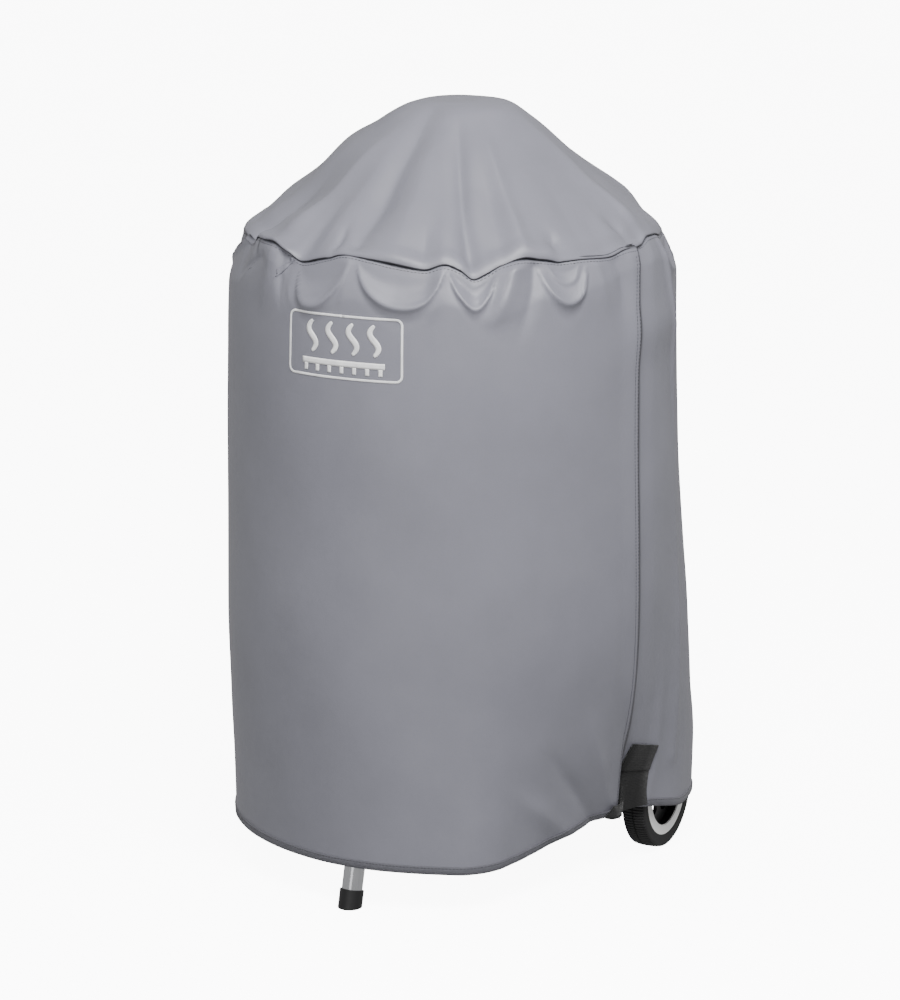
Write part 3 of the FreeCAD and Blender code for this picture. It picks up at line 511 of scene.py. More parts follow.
# lines of fold down the sides as (turn, height) from their strong end, depth + outwards
sideFolds = [
    {"line": [(-21, 776), (-20.5, 745), (-19, 705)], "width": 8, "depth": -5.0},
    {"line": [(-26, 780), (-27, 740), (-30, 690)], "width": 13, "depth": 3.0},
    {"line": [(-31, 764), (-38, 748), (-48, 726)], "width": 7, "depth": -3.0},
    {"line": [(-23, 776), (-22.5, 748), (-21, 700)], "width": 5, "depth": -4.0},
    {"line": [(-1, 782), (-1.5, 750), (-2, 715)], "width": 9, "depth": 3.0},
    {"line": [(24.5, 774), (23.5, 745), (21.5, 700)], "width": 8, "depth": 4.0},
    {"line": [(43.5, 776), (41.5, 750), (38.5, 722), (35.5, 698)], "width": 14, "depth": 9.5},
    {"line": [(49, 772), (48, 745), (45.5, 712), (42, 670)], "width": 9, "depth": -5.0},
    {"line": [(67, 774), (68, 745), (70, 700)], "width": 9, "depth": 2.5},
    {"line": [(74, 772), (75, 740), (76, 690)], "width": 10, "depth": -2.5},
    {"line": [(80, 776), (79, 735), (78, 650), (78, 500)], "width": 12, "depth": 2.0},
    {"line": [(99, 772), (100.5, 700), (103, 600), (106, 420)], "width": 5, "depth": 5.0},
    {"line": [(116, 752), (118, 720), (121, 640)], "width": 20, "depth": 3.0},
    {"line": [(106, 130), (106, 220), (105, 380), (104, 520)], "width": 11, "depth": 3.5},
    {"line": [(140, 776), (138, 690), (135, 520), (133, 330)], "width": 24, "depth": 4.0},
    {"line": [(161, 778), (160, 690), (158, 560)], "width": 18, "depth": -4.0},
    {"line": [(-174, 772), (-172, 640), (-170, 450)], "width": 22, "depth": 3.5},
    {"line": [(-146, 778), (-148, 660), (-150, 500)], "width": 18, "depth": -4.0},
    {"line": [(-122, 776), (-124, 640), (-128, 420)], "width": 22, "depth": 3.5},
    {"line": [(-100, 774), (-102, 690), (-104, 560)], "width": 14, "depth": -3.0},
    {"line": [(94, 72), (88, 125), (82, 190), (76, 270)], "width": 12, "depth": -5.0},
    {"line": [(86, 72), (78, 120), (70, 180), (62, 260)], "width": 15, "depth": 5.0},
    {"line": [(78, 70), (70, 105), (60, 150), (50, 205)], "width": 12, "depth": -5.0},
    {"line": [(66, 66), (58, 92), (48, 125), (39, 160)], "width": 15, "depth": 4.0},
    {"line": [(98, 72), (99, 130), (98, 210), (97, 300)], "width": 10, "depth": 3.5},
    {"line": [(-92, 56), (-84, 100), (-74, 150), (-66, 210)], "width": 13, "depth": -3.0},
    {"line": [(-94, 56), (-96, 120), (-97, 200), (-97, 280)], "width": 11, "depth": 3.0},
    {"line": [(158, 52), (157, 110), (155, 220)], "width": 22, "depth": 5.0},
    {"line": [(-162, 52), (-160, 120), (-158, 240)], "width": 22, "depth": -5.0},
    {"line": [(176, 52), (176, 130), (177, 260)], "width": 20, "depth": -4.0},
    {"line": [(30, 52), (31, 110), (33, 190)], "width": 20, "depth": 3.0},
]


def slackWaves(across, up):
    # long shallow waves of slack cloth, in millimetres
    first = np.sin(across / 61 + 0.6 * np.sin(up / 97)) * np.sin(up / 143 + 1.1)
    second = np.sin(across / 29 + up / 83 + 2.0) * np.sin(up / 51 + 0.7 * np.sin(across / 71))
    third = np.sin(across / 13 - up / 37) * np.sin(across / 87 + up / 61 + 0.5)
    return 1.1 * first + 0.5 * second + 0.22 * third


def hump(at, middle, spread):
    return np.exp(-((at - middle) / spread) ** 2)


def sagDepth(swag, turn, drop):
    # how far one sag stands out at a turn and a drop below the seam
    reach = wrapped(turn - swag["turn"]) / swag["half"]
    curve = np.sqrt(np.clip(1 - reach ** 2, sagShape["narrowest"] ** 2, 1))
    depth = drop / (swag["drop"] * curve)
    rim, above, under = sagShape["rim"]
    spread = np.where(depth < rim, above, under)
    rolled = np.exp(-(np.abs(depth - rim) / spread) ** sagShape["rimPower"])
    for name, sign in (("ridge", 1), ("valley", -1), ("below", -1)):
        middle, width, share = sagShape[name]
        rolled = rolled + sign * share * hump(depth, middle, width)
    slack = swag["roll"] * rolled - swag["hollow"] * hump(depth, *sagShape["hollow"])
    slack = slack * (1 - reach ** 4) * ramp(*sagShape["starts"], drop)
    return np.where(np.abs(reach) < 1, slack, 0)


def sideRadius(turn, height):
    turn = wrapped(turn)
    angle = np.radians(turn)
    rounded = roundCurve(height)
    squareness = squareCurve(height)
    boxy = np.abs(np.sin(angle) / rounded) ** squareness
    boxy = boxy + np.abs(np.cos(angle) / depthCurve(height)) ** squareness
    radius = np.where(np.abs(turn) <= 90, rounded, boxy ** (-1 / squareness))

    seam = seamCurve(turn)
    drop = np.maximum(seam - height, 0)
    shoulder = coverBody["shoulderReach"] * shoulderCurve(turn)
    rise = 1 - (1 - np.clip(drop / shoulder, 0, 1)) ** coverBody["shoulderPower"]
    seamRadius = coverBody["seamRadius"] + seamOutCurve(turn)
    radius = seamRadius + (radius - seamRadius) * rise

    across = angle * radius
    near = 1 - (height - hemCurve(turn)) / coverBody["drawnHeight"]
    near = np.clip(near, 0, coverBody["drawnMost"])
    radius = radius - drawnCurve(turn) * near ** coverBody["drawnPower"]
    for swag in swags:
        radius = radius + sagDepth(swag, turn, drop)
    girth = coverBody["girthRadius"]
    clear = ramp(*coverBody["foldDrop"], drop)
    for fold in sideFolds:
        start = fold["line"][0][0]
        line = [(math.radians(at - start) * girth, up) for at, up in fold["line"]]
        sideways = np.radians(wrapped(turn - start)) * girth
        radius = radius + fold["depth"] * nearLine(sideways, height, line, fold["width"]) * clear
    for middle in (-90, 90):
        sideways = wrapped(turn - middle) / coverBody["handleHalfTurn"]
        upwards = (height - coverBody["handleHeight"]) / coverBody["handleHalfHeight"]
        radius = radius + coverBody["handleOut"] * np.exp(-sideways ** 4 - upwards ** 2)
    calm = ramp(0, coverBody["calmDrop"], drop)
    return radius + slackWaves(across, height) * calm


domeShape = {
    # radius, height on the right of the dome and height on its left
    "profile": [
        (0, 929.3, 928.5), (30, 929.2, 927.5), (52, 927.5, 922), (67, 925, 914.5), (95, 908, 895),
        (134, 877, 868), (174, 843, 829), (214, 811, 796), (234, 793, 778), (248, 775, 769),
    ],
    # the turn towards which the dome is fuller, and how much longer it is from side to side
    "lean": 117,
    "longer": 0.14,
    "roundShare": 0.79,
    "longerFade": (70, 235),
    "seamBlend": (165, 248),
    "foldFade": (225, 248),
    "foldLoss": 0.75,
    "waveDepth": 0.7,
    "waveScale": 1.7,
    "waveShift": 40,
    "waveFade": (190, 245),
    # how far the dome's edge swells out over the seam, by turn
    "bulge": [(-44, 1), (-36, 5), (-22, 6), (-16, 2), (-9, 3), (-2, 2), (5, 4), (14, 6), (23, 4),
              (27, 4), (32, 5), (40, 3), (46, 5), (54, 6), (60, 2), (75, 1), (88, 1), (97, 3), (118, 4),
              (136, 1), (150, 4), (170, 2), (-172, 4), (-150, 1), (-130, 4), (-110, 2), (-88, 1), (-66, 2)],
}
# folds over the dome as (turn, radius) from their strong end, depth + upwards
domeFolds = [
    {"line": [(-1, 236), (-1, 190), (-1, 120), (-1, 55), (0, 20)], "width": 17, "depth": -11.0},
    {"line": [(-13, 246), (-13, 170), (-12, 80)], "width": 18, "depth": 5.0},
    {"line": [(11, 246), (12, 170), (14, 80)], "width": 20, "depth": 5.0},
    {"line": [(-28, 248), (-27, 190), (-27, 110), (-25, 60)], "width": 16, "depth": 6.0},
    {"line": [(-44, 246), (-44, 180), (-43, 110)], "width": 26, "depth": -8.0},
    {"line": [(-7, 246), (-7.5, 222), (-9, 200)], "width": 5, "depth": -4.5},
    {"line": [(19, 246), (19, 222), (18, 195)], "width": 6, "depth": -3.0},
    {"line": [(32, 248), (31, 200), (31, 140), (32, 90), (34, 60)], "width": 9, "depth": -9.0},
    {"line": [(41, 246), (41, 190), (42, 120)], "width": 15, "depth": -6.0},
    {"line": [(47, 248), (47, 190), (48, 120), (52, 70)], "width": 11, "depth": 7.0},
    {"line": [(56, 246), (57, 232), (59, 215)], "width": 7, "depth": -6.0},
    {"line": [(66, 246), (67, 200), (70, 140)], "width": 16, "depth": -3.0},
    {"line": [(91, 246), (90, 190), (90, 120), (90, 70)], "width": 19, "depth": 8.0},
    {"line": [(84, 246), (83, 233), (80, 214)], "width": 7, "depth": -7.0},
    {"line": [(-90, 246), (-90, 190), (-90, 120), (-90, 70)], "width": 19, "depth": 8.0},
    {"line": [(-66, 246), (-66, 200), (-68, 140)], "width": 15, "depth": -4.0},
    {"line": [(118, 246), (120, 180), (124, 110)], "width": 22, "depth": -9.0},
    {"line": [(139, 246), (140, 180), (142, 100)], "width": 13, "depth": 6.0},
    {"line": [(153, 246), (153, 190), (155, 120)], "width": 11, "depth": -7.0},
    {"line": [(-178, 240), (-179, 170), (180, 80)], "width": 18, "depth": -9.0},
    {"line": [(-150, 246), (-150, 180), (-148, 90)], "width": 15, "depth": 6.0},
    {"line": [(-128, 246), (-127, 190), (-126, 120)], "width": 15, "depth": -8.0},
    {"line": [(-107, 246), (-106, 200), (-104, 150)], "width": 10, "depth": -4.0},
]
rightProfile = smoothCurve([(row[0], row[1]) for row in domeShape["profile"]])
leftProfile = smoothCurve([(row[0], row[2]) for row in domeShape["profile"]])
bulgeCurve = smoothCurve(domeShape["bulge"], 360)


def domeHeight(turn, radius):
    angle = np.radians(turn)
    fade = 1 - ramp(*domeShape["longerFade"], radius)
    longer = 1 + domeShape["longer"] * (np.sin(angle) ** 2 - domeShape["roundShare"]) * fade
    side = 0.5 + 0.5 * np.cos(np.radians(turn - domeShape["lean"]))
    reach = radius / longer
    outermost = domeShape["profile"][-1][0]
    height = rightProfile(reach) * side + leftProfile(reach) * (1 - side)
    edge = rightProfile(outermost) * side + leftProfile(outermost) * (1 - side)
    height = height + (seamCurve(wrapped(turn)) - 1 - edge) * ramp(*domeShape["seamBlend"], radius)
    x = np.sin(angle) * radius
    y = -np.cos(angle) * radius
    kept = 1 - domeShape["foldLoss"] * ramp(*domeShape["foldFade"], radius)
    for fold in domeFolds:
        line = []
        for at, out in fold["line"]:
            line.append((math.sin(math.radians(at)) * out, -math.cos(math.radians(at)) * out))
        height = height + fold["depth"] * nearLine(x, y, line, fold["width"]) * kept
    scale = domeShape["waveScale"]
    waves = slackWaves(x * scale + domeShape["waveShift"], y * scale)
    return height + domeShape["waveDepth"] * waves * (1 - ramp(*domeShape["waveFade"], radius))


sideSeams = {
    "right": [
        (50, 89), (90, 88), (130, 86), (170, 84.5), (240, 82.5), (300, 81.3), (440, 80), (560, 79.6),
        (640, 79.8), (700, 80.3), (740, 81.8), (790, 84),
    ],
    "left": [
        (50, -86), (170, -84), (440, -83), (600, -83), (680, -82), (715, -76), (740, -65), (757, -56),
        (778, -48),
    ],
    # the short dart in the left shoulder, as lengths round the side and heights
    "dart": [(-160, 790), (-157, 780), (-153, 768), (-150, 758)],
    "dartRadius": 262,
    "dartWidth": 1.7,
    # turns between which the shoulder seam fades out beside the dart, with a soft end each side
    "plain": ((-47, -41), (-31, -27)),
    # the front flap stands proud of the rear panel, which is tucked under it; both in degrees from the edge
    "proud": 3.0,
    "proudTurns": (0, 7),
    "tucked": 3.0,
    "tuckedTurns": (1.5, 9),
    "overlap": 2.2,
    # the cloth pulled in at the shoulder seam, and the width of the darker line there, partly dark thread
    # and partly painted shadow of the seam's groove
    "pulledIn": 3.2,
    "pulledHeight": 2.6,
    # strength and width in degrees of the dark line on the front flap's edge, partly dark edging and partly
    # painted shadow, and the width of the painted shadow on the rear panel under the flap
    "frontEdgeAndShadow": (0.9, 0.5),
    "rearPaintedShadow": 2.0,
    "edgeHalf": 0.4,
    "cloth": 0.9,
}
rightEdge = smoothCurve(sideSeams["right"])
leftEdge = smoothCurve(sideSeams["left"])
panelGrid = {
    "frontColumns": 250,
    "rearColumns": 250,
    "rows": 190,
    "finerAtTop": 1.35,
    "settles": 4,
    "topColumns": 540,
    "topRows": 120,
}


def flapLift(toEdge):
    return sideSeams["proud"] * (1 - ramp(*sideSeams["proudTurns"], toEdge))


def tuckDepth(toEdge):
    return sideSeams["tucked"] * (1 - ramp(*sideSeams["tuckedTurns"], toEdge))


def seamPull(drop):
    return sideSeams["pulledIn"] * hump(drop, 0, sideSeams["pulledHeight"])


def seamShows(turn):
    # 0 beside the dart in the left shoulder, where the seam lies hidden, and 1 elsewhere
    (outerEnd, outerStart), (innerStart, innerEnd) = sideSeams["plain"]
    return 1 - ramp(innerEnd, innerStart, turn) * ramp(outerEnd, outerStart, turn)


def sidePanel(name, node, startTurn, endTurn, columns, isFront):
    rows = panelGrid["rows"]
    down = np.linspace(0, 1, rows) ** panelGrid["finerAtTop"]
    sideways = np.linspace(0, 1, columns)
    down, sideways = np.meshgrid(down, sideways, indexing="ij")
    turn = startTurn + (endTurn - startTurn) * sideways
    overlap = sideSeams["overlap"]
    for settle in range(panelGrid["settles"]):
        height = seamCurve(wrapped(turn)) * (1 - down) + hemCurve(wrapped(turn)) * down
        left = leftEdge(height)
        right = rightEdge(height)
        if isFront:
            turn = left + (right - left) * sideways
        else:
            turn = right - overlap + (left + 360 + 2 * overlap - right) * sideways
    height = seamCurve(wrapped(turn)) * (1 - down) + hemCurve(wrapped(turn)) * down
    drop = seamCurve(wrapped(turn)) - height
    toEdge = np.minimum(np.abs(wrapped(turn - left)), np.abs(wrapped(turn - right)))
    radius = sideRadius(turn, height)
    # painted shade along the shoulder seam, the flap edges and the dart, together with the dark thread
    # there
    shade = hump(drop, 0, sideSeams["pulledHeight"])
    if isFront:
        radius = radius + flapLift(toEdge)
        strength, width = sideSeams["frontEdgeAndShadow"]
        shade = np.maximum(shade, strength * np.exp(-(toEdge / width) ** 4))
        around = np.radians(turn) * sideSeams["dartRadius"]
        dart = nearLine(around, height, sideSeams["dart"], sideSeams["dartWidth"])
        shade = np.maximum(shade * seamShows(turn), dart)
    else:
        radius = radius - tuckDepth(toEdge)
        shade = np.maximum(shade, np.exp(-(toEdge / sideSeams["rearPaintedShadow"]) ** 6))
    points = place(turn, radius - seamPull(drop), height)
    panel = meshPiece(name, points, gridFaces(rows, columns, False), "cover", clothFinish)
    addWeaveMap(panel, girthLength(turn).ravel(), height.ravel() * mm)
    addShade(panel, shade.ravel())
    thicken(panel, sideSeams["cloth"])
    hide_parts(node)
    return panel


topEdge = {
    "inner": 0.012,
    "past": 1.4,
    "swellAt": 7,
    "swellWidth": 7,
    "swellRise": 0.55,
    "tuck": 1.5,
    "tuckWidth": 5,
    # strength and width of the dark line along the dome's seam: dark thread with painted shadow of the seam
    # gap
    "line": (0.95, 1.8),
}


def topPanel():
    rows, columns = panelGrid["topRows"], panelGrid["topColumns"]
    out = np.linspace(topEdge["inner"], 1, rows)
    turn = np.linspace(-180, 180, columns, endpoint=False)
    out, turn = np.meshgrid(out, turn, indexing="ij")
    edge = coverBody["seamRadius"] + seamOutCurve(turn) + topEdge["past"]
    radius = out * edge
    height = domeHeight(turn, radius)
    toSeam = edge - radius
    swell = bulgeCurve(wrapped(turn)) * hump(toSeam, topEdge["swellAt"], topEdge["swellWidth"])
    tuck = topEdge["tuck"] * (1 - ramp(0, topEdge["tuckWidth"], toSeam))
    points = place(turn, radius + swell, height + topEdge["swellRise"] * swell - tuck)
    centre = domeHeight(np.array([0.0]), np.array([0.0]))[0]
    points = np.vstack([points, [[0, 0, centre * mm]]])
    faces = gridFaces(rows, columns, True)
    middle = rows * columns
    for column in range(columns):
        faces.append((middle, column, (column + 1) % columns))
    panel = meshPiece("coverTop", points, faces, "cover", clothFinish)
    addWeaveMap(panel, points[:, 0], points[:, 1])
    # painted shadow together with the dark thread along the dome's seam
    strength, width = topEdge["line"]
    shade = strength * hump(toSeam, 0, width) * seamShows(turn)
    addShade(panel, np.append(shade.ravel(), 0))
    thicken(panel, sideSeams["cloth"])
    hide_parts("cover_top_panel")
    return panel


coverTop = topPanel()
frontTurns, rearTurns = (-83, 84), (84, 277)
coverFront = sidePanel("coverFront", "cover_front_panel", *frontTurns, panelGrid["frontColumns"], True)
coverRear = sidePanel("coverRear", "cover_rear_panel", *rearTurns, panelGrid["rearColumns"], False)
print("cover sheets made")


hemTape = {"width": 10, "proud": 1.1, "columns": 540, "fold": 0.7, "thick": 2.1}


def hemBinding():
    columns = hemTape["columns"]
    turn = np.linspace(-180, 180, columns, endpoint=False)
    low = hemCurve(turn)
    width, proud, fold, thick = hemTape["width"], hemTape["proud"], hemTape["fold"], hemTape["thick"]
    # up and out: the outer face from its top edge, round the cloth's edge and up inside
    section = [
        (width, 0.2), (width - 0.6, proud), (width / 2, proud + 0.25), (1.2, proud), (-0.4, 0.2),
        (-fold, -fold), (0.2, 0.4 - thick), (width / 2, -thick), (width - 0.8, 0.1 - thick),
        (width - 0.4, -1.2),
    ]
    rings = [place(turn, edgeRadius(turn, low + up) + out, low + up) for up, out in section]
    faces = gridFaces(len(section), columns, True)
    tape = meshPiece("coverHem", np.vstack(rings), faces, "cover", hemFinish)
    around = np.tile(girthLength(turn), len(section))
    addWeaveMap(tape, around, np.repeat([up * mm for up, out in section], columns))
    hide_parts("cover_hem_binding")
    return tape


def edgeRadius(turn, height):
    # the outermost cloth at a place, flaps included
    radius = sideRadius(turn, height)
    for edge in (leftEdge(height), rightEdge(height)):
        away = wrapped(turn - edge)
        onFront = np.where(edge > 0, away < 0, away > 0) | (np.abs(away) < sideSeams["edgeHalf"])
        radius = radius + np.where(onFront, flapLift(np.abs(away)), -tuckDepth(np.abs(away)))
    return radius


stitchShape = {
    "pitch": 4.2,
    "length": 2.9,
    "width": 0.9,
    "lift": 0.05,
    "thread": 0.25,
    "hemInset": 2.0,
    "seamInsets": (0.55, 1.6),
    # heights at which the seam's ends are looked up, and how far short of hem and shoulder it stops
    "seamLevels": (60, 775),
    "seamEnds": (12, 8),
    "shoulderDrop": 6.0,
    "shoulderWidth": 0.8,
    "shoulderRadius": 250,
    # along, lift and half width of each ring of one stitch
    "rings": ((-1, 0.1, 0.45), (-0.6, 1, 1), (0.6, 1, 1), (1, 0.1, 0.45)),
    "crown": 0.55,
    "skirt": 0.2,
}


def stitchRow(points, faces, turn, radius, height, width):
    # short raised threads along a row of places
    path = place(turn, radius + stitchShape["lift"], height)
    outward = place(turn, np.ones(len(turn)), np.zeros(len(turn)))
    for index in range(len(path) - 1):
        start, end = Vector(path[index]), Vector(path[index + 1])
        forward = (end - start).normalized()
        side = forward.cross(Vector(outward[index]).normalized()).normalized()
        out = Vector(outward[index]).normalized()
        first = len(points)
        for step, lift, half in stitchShape["rings"]:
            centre = (start + end) / 2 + forward * (step * stitchShape["length"] / 2) * mm
            for across in (-1, 0, 1):
                height = lift * width * (stitchShape["skirt"] if across else stitchShape["crown"])
                points.append(centre + side * (across * half * width / 2) * mm + out * height * mm)
        for part in range(len(stitchShape["rings"]) - 1):
            for across in range(2):
                here = first + part * 3 + across
                faces.append((here, here + 1, here + 4, here + 3))


def stitches():
    points, faces = [], []
    pitch, width = stitchShape["pitch"], stitchShape["width"]

    def turnsRound(radius):
        return np.linspace(-180, 180, int(2 * math.pi * radius / pitch), endpoint=False)

    turn = turnsRound(coverBody["girthRadius"])
    height = hemCurve(turn) + hemTape["width"] - stitchShape["hemInset"]
    stitchRow(points, faces, turn, edgeRadius(turn, height) + hemTape["proud"], height, width)
    bottom, top = stitchShape["seamEnds"]
    lowest, highest = stitchShape["seamLevels"]
    for edge, sign in ((rightEdge, -1), (leftEdge, 1)):
        for inset in stitchShape["seamInsets"]:
            low = float(hemCurve(edge(lowest))) + bottom
            height = np.arange(low, float(seamCurve(edge(highest))) - top, pitch)
            turn = edge(height) + sign * inset
            stitchRow(points, faces, turn, edgeRadius(turn, height), height, width)
    turn = turnsRound(stitchShape["shoulderRadius"])
    height = seamCurve(turn) - stitchShape["shoulderDrop"]
    radius = edgeRadius(turn, height) - seamPull(stitchShape["shoulderDrop"])
    stitchRow(points, faces, turn, radius, height, stitchShape["shoulderWidth"])
    row = meshPiece("coverStitches", points, faces, "cover", threadLook)
    thicken(row, stitchShape["thread"])
    return row


markShape = {
    "turn": -1.0,
    # a rounded frame with a grate inside it
    "frameHalf": 74,
    "frameLow": 640,
    "frameHigh": 712,
    "frameCorner": 7,
    "frameThick": 2.8,
    "barHalf": 54,
    "barHeight": 657,
    "barThick": 7,
    "legs": 7,
    "legLength": 8,
    "waveLow": 668,
    "waveHigh": 704,
    "waves": 4,
    "waveSpread": 27,
    "waveSwing": 5.5,
    "waveThick": 7.5,
    "waveEnds": 0.35,
    "waveSteps": 40,
    "legSpread": 0.9,
    "legThin": 0.7,
    "legSteps": 6,
    # straight runs of the frame are cut finer than this, so that they follow the cloth
    "frameFine": 5,
    "cornerSteps": 5,
    # the radius at which the print is laid out, its height over the cloth and its thickness
    "radius": 269,
    "lift": 0.3,
    "thick": 0.2,
    "columns": (-1, -0.34, 0.34, 1),
}


def frameLine():
    # once round the frame, with the ends meeting in the middle of the top
    half, low, high = markShape["frameHalf"], markShape["frameLow"], markShape["frameHigh"]
    corner, thick, turns = markShape["frameCorner"], markShape["frameThick"] / 2, markShape["cornerSteps"]
    steps, straight = 16, 12
    line = [(-half * step / steps, high, thick) for step in range(straight + 1)]
    top, bottom = high - corner, low + corner
    for sign, up, start in ((-1, top, 90), (-1, bottom, 180), (1, bottom, 270), (1, top, 0)):
        for step in range(turns + 1):
            angle = math.radians(start + 90 * step / turns)
            x = sign * (half - corner) + corner * math.cos(angle)
            line.append((x, up + corner * math.sin(angle), thick))
        if start == 180:
            line += [(half * step / steps, low, thick) for step in range(-straight, straight + 1)]
    line += [(half * step / steps, high, thick) for step in range(straight, -1, -1)]
    fine = []
    for (x, up, thick), after in zip(line[:-1], line[1:]):
        dx, dy = after[0] - x, after[1] - up
        parts = 1 + int(math.hypot(dx, dy) / markShape["frameFine"])
        fine += [(x + dx * part / parts, up + dy * part / parts, thick) for part in range(parts)]
    return fine + line[-1:]


def stroke(points, faces, line):
    # a flat line on the cloth through (across, height, half width) places
    columns = markShape["columns"]
    first = len(points)
    for index, (x, up, half) in enumerate(line):
        before = line[max(index - 1, 0)]
        after = line[min(index + 1, len(line) - 1)]
        dx, dy = after[0] - before[0], after[1] - before[1]
        size = math.hypot(dx, dy)
        for side in columns:
            sideX = x - dy / size * half * side
            sideY = up + dx / size * half * side
            turn = np.array([markShape["turn"] + math.degrees(sideX / markShape["radius"])])
            height = np.array([sideY])
            points.append(place(turn, sideRadius(turn, height) + markShape["lift"], height)[0])
    across = len(columns)
    for index in range(len(line) - 1):
        for part in range(across - 1):
            here = first + index * across + part
            faces.append((here, here + 1, here + across + 1, here + across))


def waveLine(middle):
    low, high, steps = markShape["waveLow"], markShape["waveHigh"], markShape["waveSteps"]
    ends = markShape["waveEnds"]
    line = []
    for step in range(steps + 1):
        t = step / steps
        x = middle + markShape["waveSwing"] * math.sin(2 * math.pi * t)
        half = markShape["waveThick"] / 2 * (ends + (1 - ends) * math.sin(math.pi * t) ** 0.5)
        line.append((x, low + (high - low) * t, half))
    return line


def frontMark():
    # rising heat lines over a grate, as a thin print that follows the cloth
    points, faces = [], []
    stroke(points, faces, frameLine())
    for wave in range(markShape["waves"]):
        stroke(points, faces, waveLine((wave - (markShape["waves"] - 1) / 2) * markShape["waveSpread"]))
    bar, height, thick = markShape["barHalf"], markShape["barHeight"], markShape["barThick"] / 2
    steps = markShape["waveSteps"]
    stroke(points, faces, [(bar * (2 * step / steps - 1), height, thick) for step in range(steps + 1)])
    top, long, steps = height - thick, markShape["legLength"], markShape["legSteps"]
    thin = thick * markShape["legThin"]
    for leg in range(markShape["legs"]):
        x = (2 * leg / (markShape["legs"] - 1) - 1) * bar * markShape["legSpread"]
        stroke(points, faces, [(x, top - long * step / steps, thin) for step in range(steps + 1)])
    mark = meshPiece("coverPrint", points, faces, "cover", inkFinish)
    thicken(mark, markShape["thick"])
    return mark


coverHem = hemBinding()
coverStitches = stitches()
coverPrint = frontMark()
print("hem, stitches and print made")


strapShape = {
    "thick": 1.7,
    # each strip's width and its height over the cloth
    "strips": {"strap": (43, 2.1), "patch": (44, 3.8), "tail": (17.2, 2.3)},
    "steps": 60,
    "columns": (-1, -0.5, 0, 0.5, 1),
    # the radius at which routes are measured, and the half step used for their direction
    "radius": 262,
    "ahead": 0.02,
}


def webbingStrip(points, faces, along, up, route, width, lift):
    # a flat strip on the cloth along (turn, height, lift) points
    steps, columns, radius = strapShape["steps"], strapShape["columns"], strapShape["radius"]
    turns, heights, lifts = [
        smoothCurve([(index, at[part]) for index, at in enumerate(route)]) for part in range(3)
    ]
    first = len(points)
    length = 0.0
    last = None
    for at in np.linspace(0, len(route) - 1, steps):
        turn, height = float(turns(at)), float(heights(at))
        ahead = min(at + strapShape["ahead"], len(route) - 1)
        behind = max(at - strapShape["ahead"], 0)
        dx = math.radians(float(turns(ahead) - turns(behind))) * radius
        dy = float(heights(ahead) - heights(behind))
        size = math.hypot(dx, dy)
        here = (math.radians(turn) * radius, height)
        if last:
            length += math.hypot(here[0] - last[0], here[1] - last[1])
        last = here
        for side in columns:
            across = side * width / 2
            sideTurn = np.array([turn + math.degrees(-dy / size * across / radius)])
            sideHeight = np.array([height + dx / size * across])
            onCloth = np.maximum(sideHeight, hemCurve(wrapped(sideTurn)))
            out = edgeRadius(sideTurn, onCloth) + lift + float(lifts(at))
            points.append(place(sideTurn, out, sideHeight)[0])
            along.append(across * mm)
            up.append(length * mm)
    count = len(columns)
    for index in range(steps - 1):
        for part in range(count - 1):
            here = first + index * count + part
            faces.append((here, here + count, here + count + 1, here + 1))


def hemStrap(name, node, mirror, routes):
    points, faces, along, up = [], [], [], []
    for strip, (width, lift) in strapShape["strips"].items():
        route = [(mirror * turn, height, out) for turn, height, out in routes[strip]]
        webbingStrip(points, faces, along, up, route, width, lift)
    if mirror < 0:
        faces = [tuple(reversed(face)) for face in faces]
    belt = meshPiece(name, points, faces, "cover", webbingFinish)
    addWeaveMap(belt, np.array(along), np.array(up))
    thicken(belt, strapShape["thick"])
    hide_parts(node)
    return belt


# turn, height and extra lift along each strip
rightStrap = {
    "patch": [(93.4, 158, 0), (92.6, 142, 0), (92.0, 126, 0)],
    "strap": [(93.2, 155, 0), (92.2, 125, 0), (92.4, 98, 0), (93.4, 72, 0.4)],
    "tail": [(92, 82, 2.5), (88, 80, 3.0), (84.5, 80, 3.0), (82, 83, 3)],
}
leftStrap = {
    "patch": [(90, 160, 0), (90, 144, 0), (90, 128, 0)],
    "strap": [(90, 157, 0), (90, 125, 0), (90, 95, 0), (90, 62, 0)],
    "tail": [(90, 66, 1.5), (87, 62, 2), (84, 60, 2), (81, 62, 2)],
}
strapRight = hemStrap("strapRight", "cover_strap_right", 1, rightStrap)
strapLeft = hemStrap("strapLeft", "cover_strap_left", -1, leftStrap)
print("straps made")


tyreShape = {
    "ribs": 110,
    "ribDepth": 1.3,
    "stepsPerRib": 5,
    "grooveSteps": (0, 1),
    "bead": 1.2,
    # from the side face inwards: across, up from the bead
    "wall": [(1, 0), (0.2, 2), (0, 5)],
    # from the side face inwards: across, down from the tread, share of the rib
    "shoulder": [(0, 4.2, 0), (0.7, 2.2, 0), (1.5, 1.2, 1), (5, 0.5, 1)],
    # from the middle: across, down from the tread, share of the rib
    "tread": [(-7, 0.15, 1), (-3.4, 0, 1), (-1.0, 0, 1), (-0.8, 1.3, 0), (0.8, 1.3, 0)],
}


def tyreSection(half, inner, outer):
    # across, radius, and how much of the rib shows there, from the inside edge to the outside one
    section = [(x - half, inner + up, 0) for x, up in tyreShape["wall"]]
    section += [(x - half, outer - down, rib) for x, down, rib in tyreShape["shoulder"]]
    section += [(x, outer - down, rib) for x, down, rib in tyreShape["tread"]]
    return section + [(-x, radius, rib) for x, radius, rib in reversed(section)]


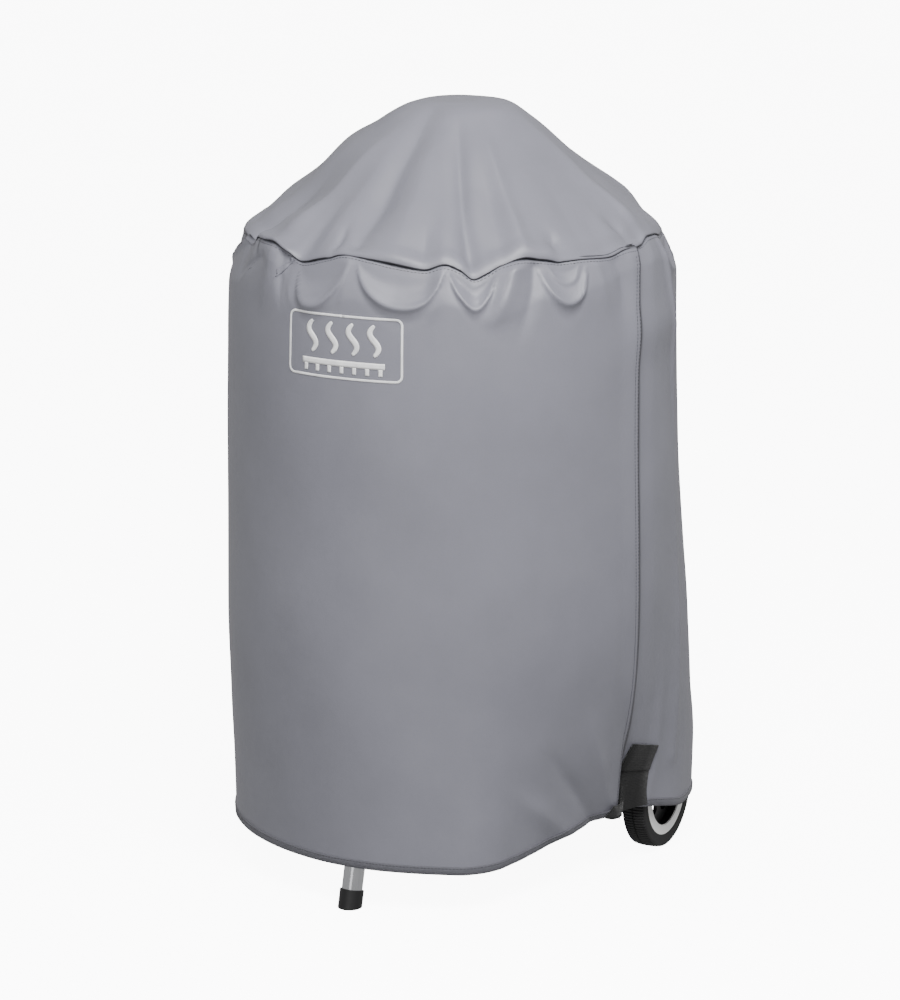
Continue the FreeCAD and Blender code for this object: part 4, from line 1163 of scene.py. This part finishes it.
def ribbedTyre(side):
    name = "tyre_" + side
    low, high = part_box(name)
    rimLow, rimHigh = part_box("rim_" + side)
    axisY, axisZ = (low.y + high.y) / 2, (low.z + high.z) / 2
    middle = (low.x + high.x) / 2 / mm
    half = (high.x - low.x) / 2 / mm
    outer = (high.z - low.z) / 2 / mm
    section = tyreSection(half, (rimHigh.z - rimLow.z) / 2 / mm - tyreShape["bead"], outer)
    steps = tyreShape["ribs"] * tyreShape["stepsPerRib"]
    points, faces = [], []
    for step in range(steps):
        angle = 2 * math.pi * step / steps
        inGroove = step % tyreShape["stepsPerRib"] in tyreShape["grooveSteps"]
        for x, radius, rib in section:
            reach = radius - (tyreShape["ribDepth"] * rib if inGroove else 0)
            y = axisY + math.cos(angle) * reach * mm
            z = axisZ + math.sin(angle) * reach * mm
            points.append(((middle + x) * mm, y, z))
    across = len(section)
    for step in range(steps):
        here, there = step * across, (step + 1) % steps * across
        for part in range(across):
            after = (part + 1) % across
            faces.append((here + part, here + after, there + after, there + part))
    tyre = meshPiece("ribbedTyre_" + side, points, faces, "wheel_" + side, tyreFinish, False)
    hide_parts(name)
    return tyre


for side in ("left", "right"):
    ribbedTyre(side)
print("tyres made")


studio = {
    "turn": 27.0,
    "lift": 13.8115,
    "distance": 5.0,
    "lens": 148.14,
    "aimRight": -0.00226,
    "aimHeight": 0.43761,
    "sensor": 36,
    "farthest": 100,
    "floor": 30.0,
    "sky": 0.52,
    # place, size and power of each soft light, all turned to the same point
    "lightAim": (0, 0, 0.45),
    "softboxes": {
        "overheadBox": ((1.2, -1.43, 2.7), (1.6, 1.3), 142),
        "frontBox": ((0.4, -3.8, 1.4), (1.2, 1.6), 16),
    },
}


def addCamera():
    turn, lift = math.radians(studio["turn"]), math.radians(studio["lift"])
    right = Vector((math.cos(turn), math.sin(turn), 0))
    back = Vector((math.sin(turn) * math.cos(lift), -math.cos(turn) * math.cos(lift), math.sin(lift)))
    lens = bpy.data.cameras.new("studioCamera")
    lens.lens = studio["lens"]
    lens.sensor_width = studio["sensor"]
    lens.clip_end = studio["farthest"]
    camera = bpy.data.objects.new("studioCamera", lens)
    aim = right * studio["aimRight"] + Vector((0, 0, studio["aimHeight"]))
    camera.location = aim + back * studio["distance"]
    camera.rotation_euler = (math.pi / 2 - lift, 0, turn)
    bpy.context.collection.objects.link(camera)
    bpy.context.scene.camera = camera


def addFloor():
    half = studio["floor"]
    build = bmesh.new()
    corners = [build.verts.new((x * half, y * half, 0)) for x, y in ((-1, -1), (1, -1), (1, 1), (-1, 1))]
    build.faces.new(corners)
    mesh = bpy.data.meshes.new("studioFloor")
    build.to_mesh(mesh)
    build.free()
    floor = bpy.data.objects.new("studioFloor", mesh)
    mesh.materials.append(paleFloor())
    bpy.context.collection.objects.link(floor)
    # its glow is only for the eye: it neither lights the cloth nor shines in it
    floor.visible_diffuse = False
    floor.visible_glossy = False


def addSoftbox(name, location, target, size, power):
    lamp = bpy.data.lights.new(name, "AREA")
    lamp.shape = "RECTANGLE"
    lamp.size, lamp.size_y = size
    lamp.energy = power
    softbox = bpy.data.objects.new(name, lamp)
    softbox.location = location
    softbox.rotation_euler = (Vector(target) - Vector(location)).to_track_quat("-Z", "Y").to_euler()
    bpy.context.collection.objects.link(softbox)


def addStudioLight():
    world = bpy.data.worlds.new("studioWorld")
    world.use_nodes = True
    world.node_tree.nodes["Background"].inputs["Color"].default_value = (1, 1, 1, 1)
    world.node_tree.nodes["Background"].inputs["Strength"].default_value = studio["sky"]
    bpy.context.scene.world = world
    for name, (location, size, power) in studio["softboxes"].items():
        addSoftbox(name, location, studio["lightAim"], size, power)


addCamera()
addFloor()
addStudioLight()
print("studio made")
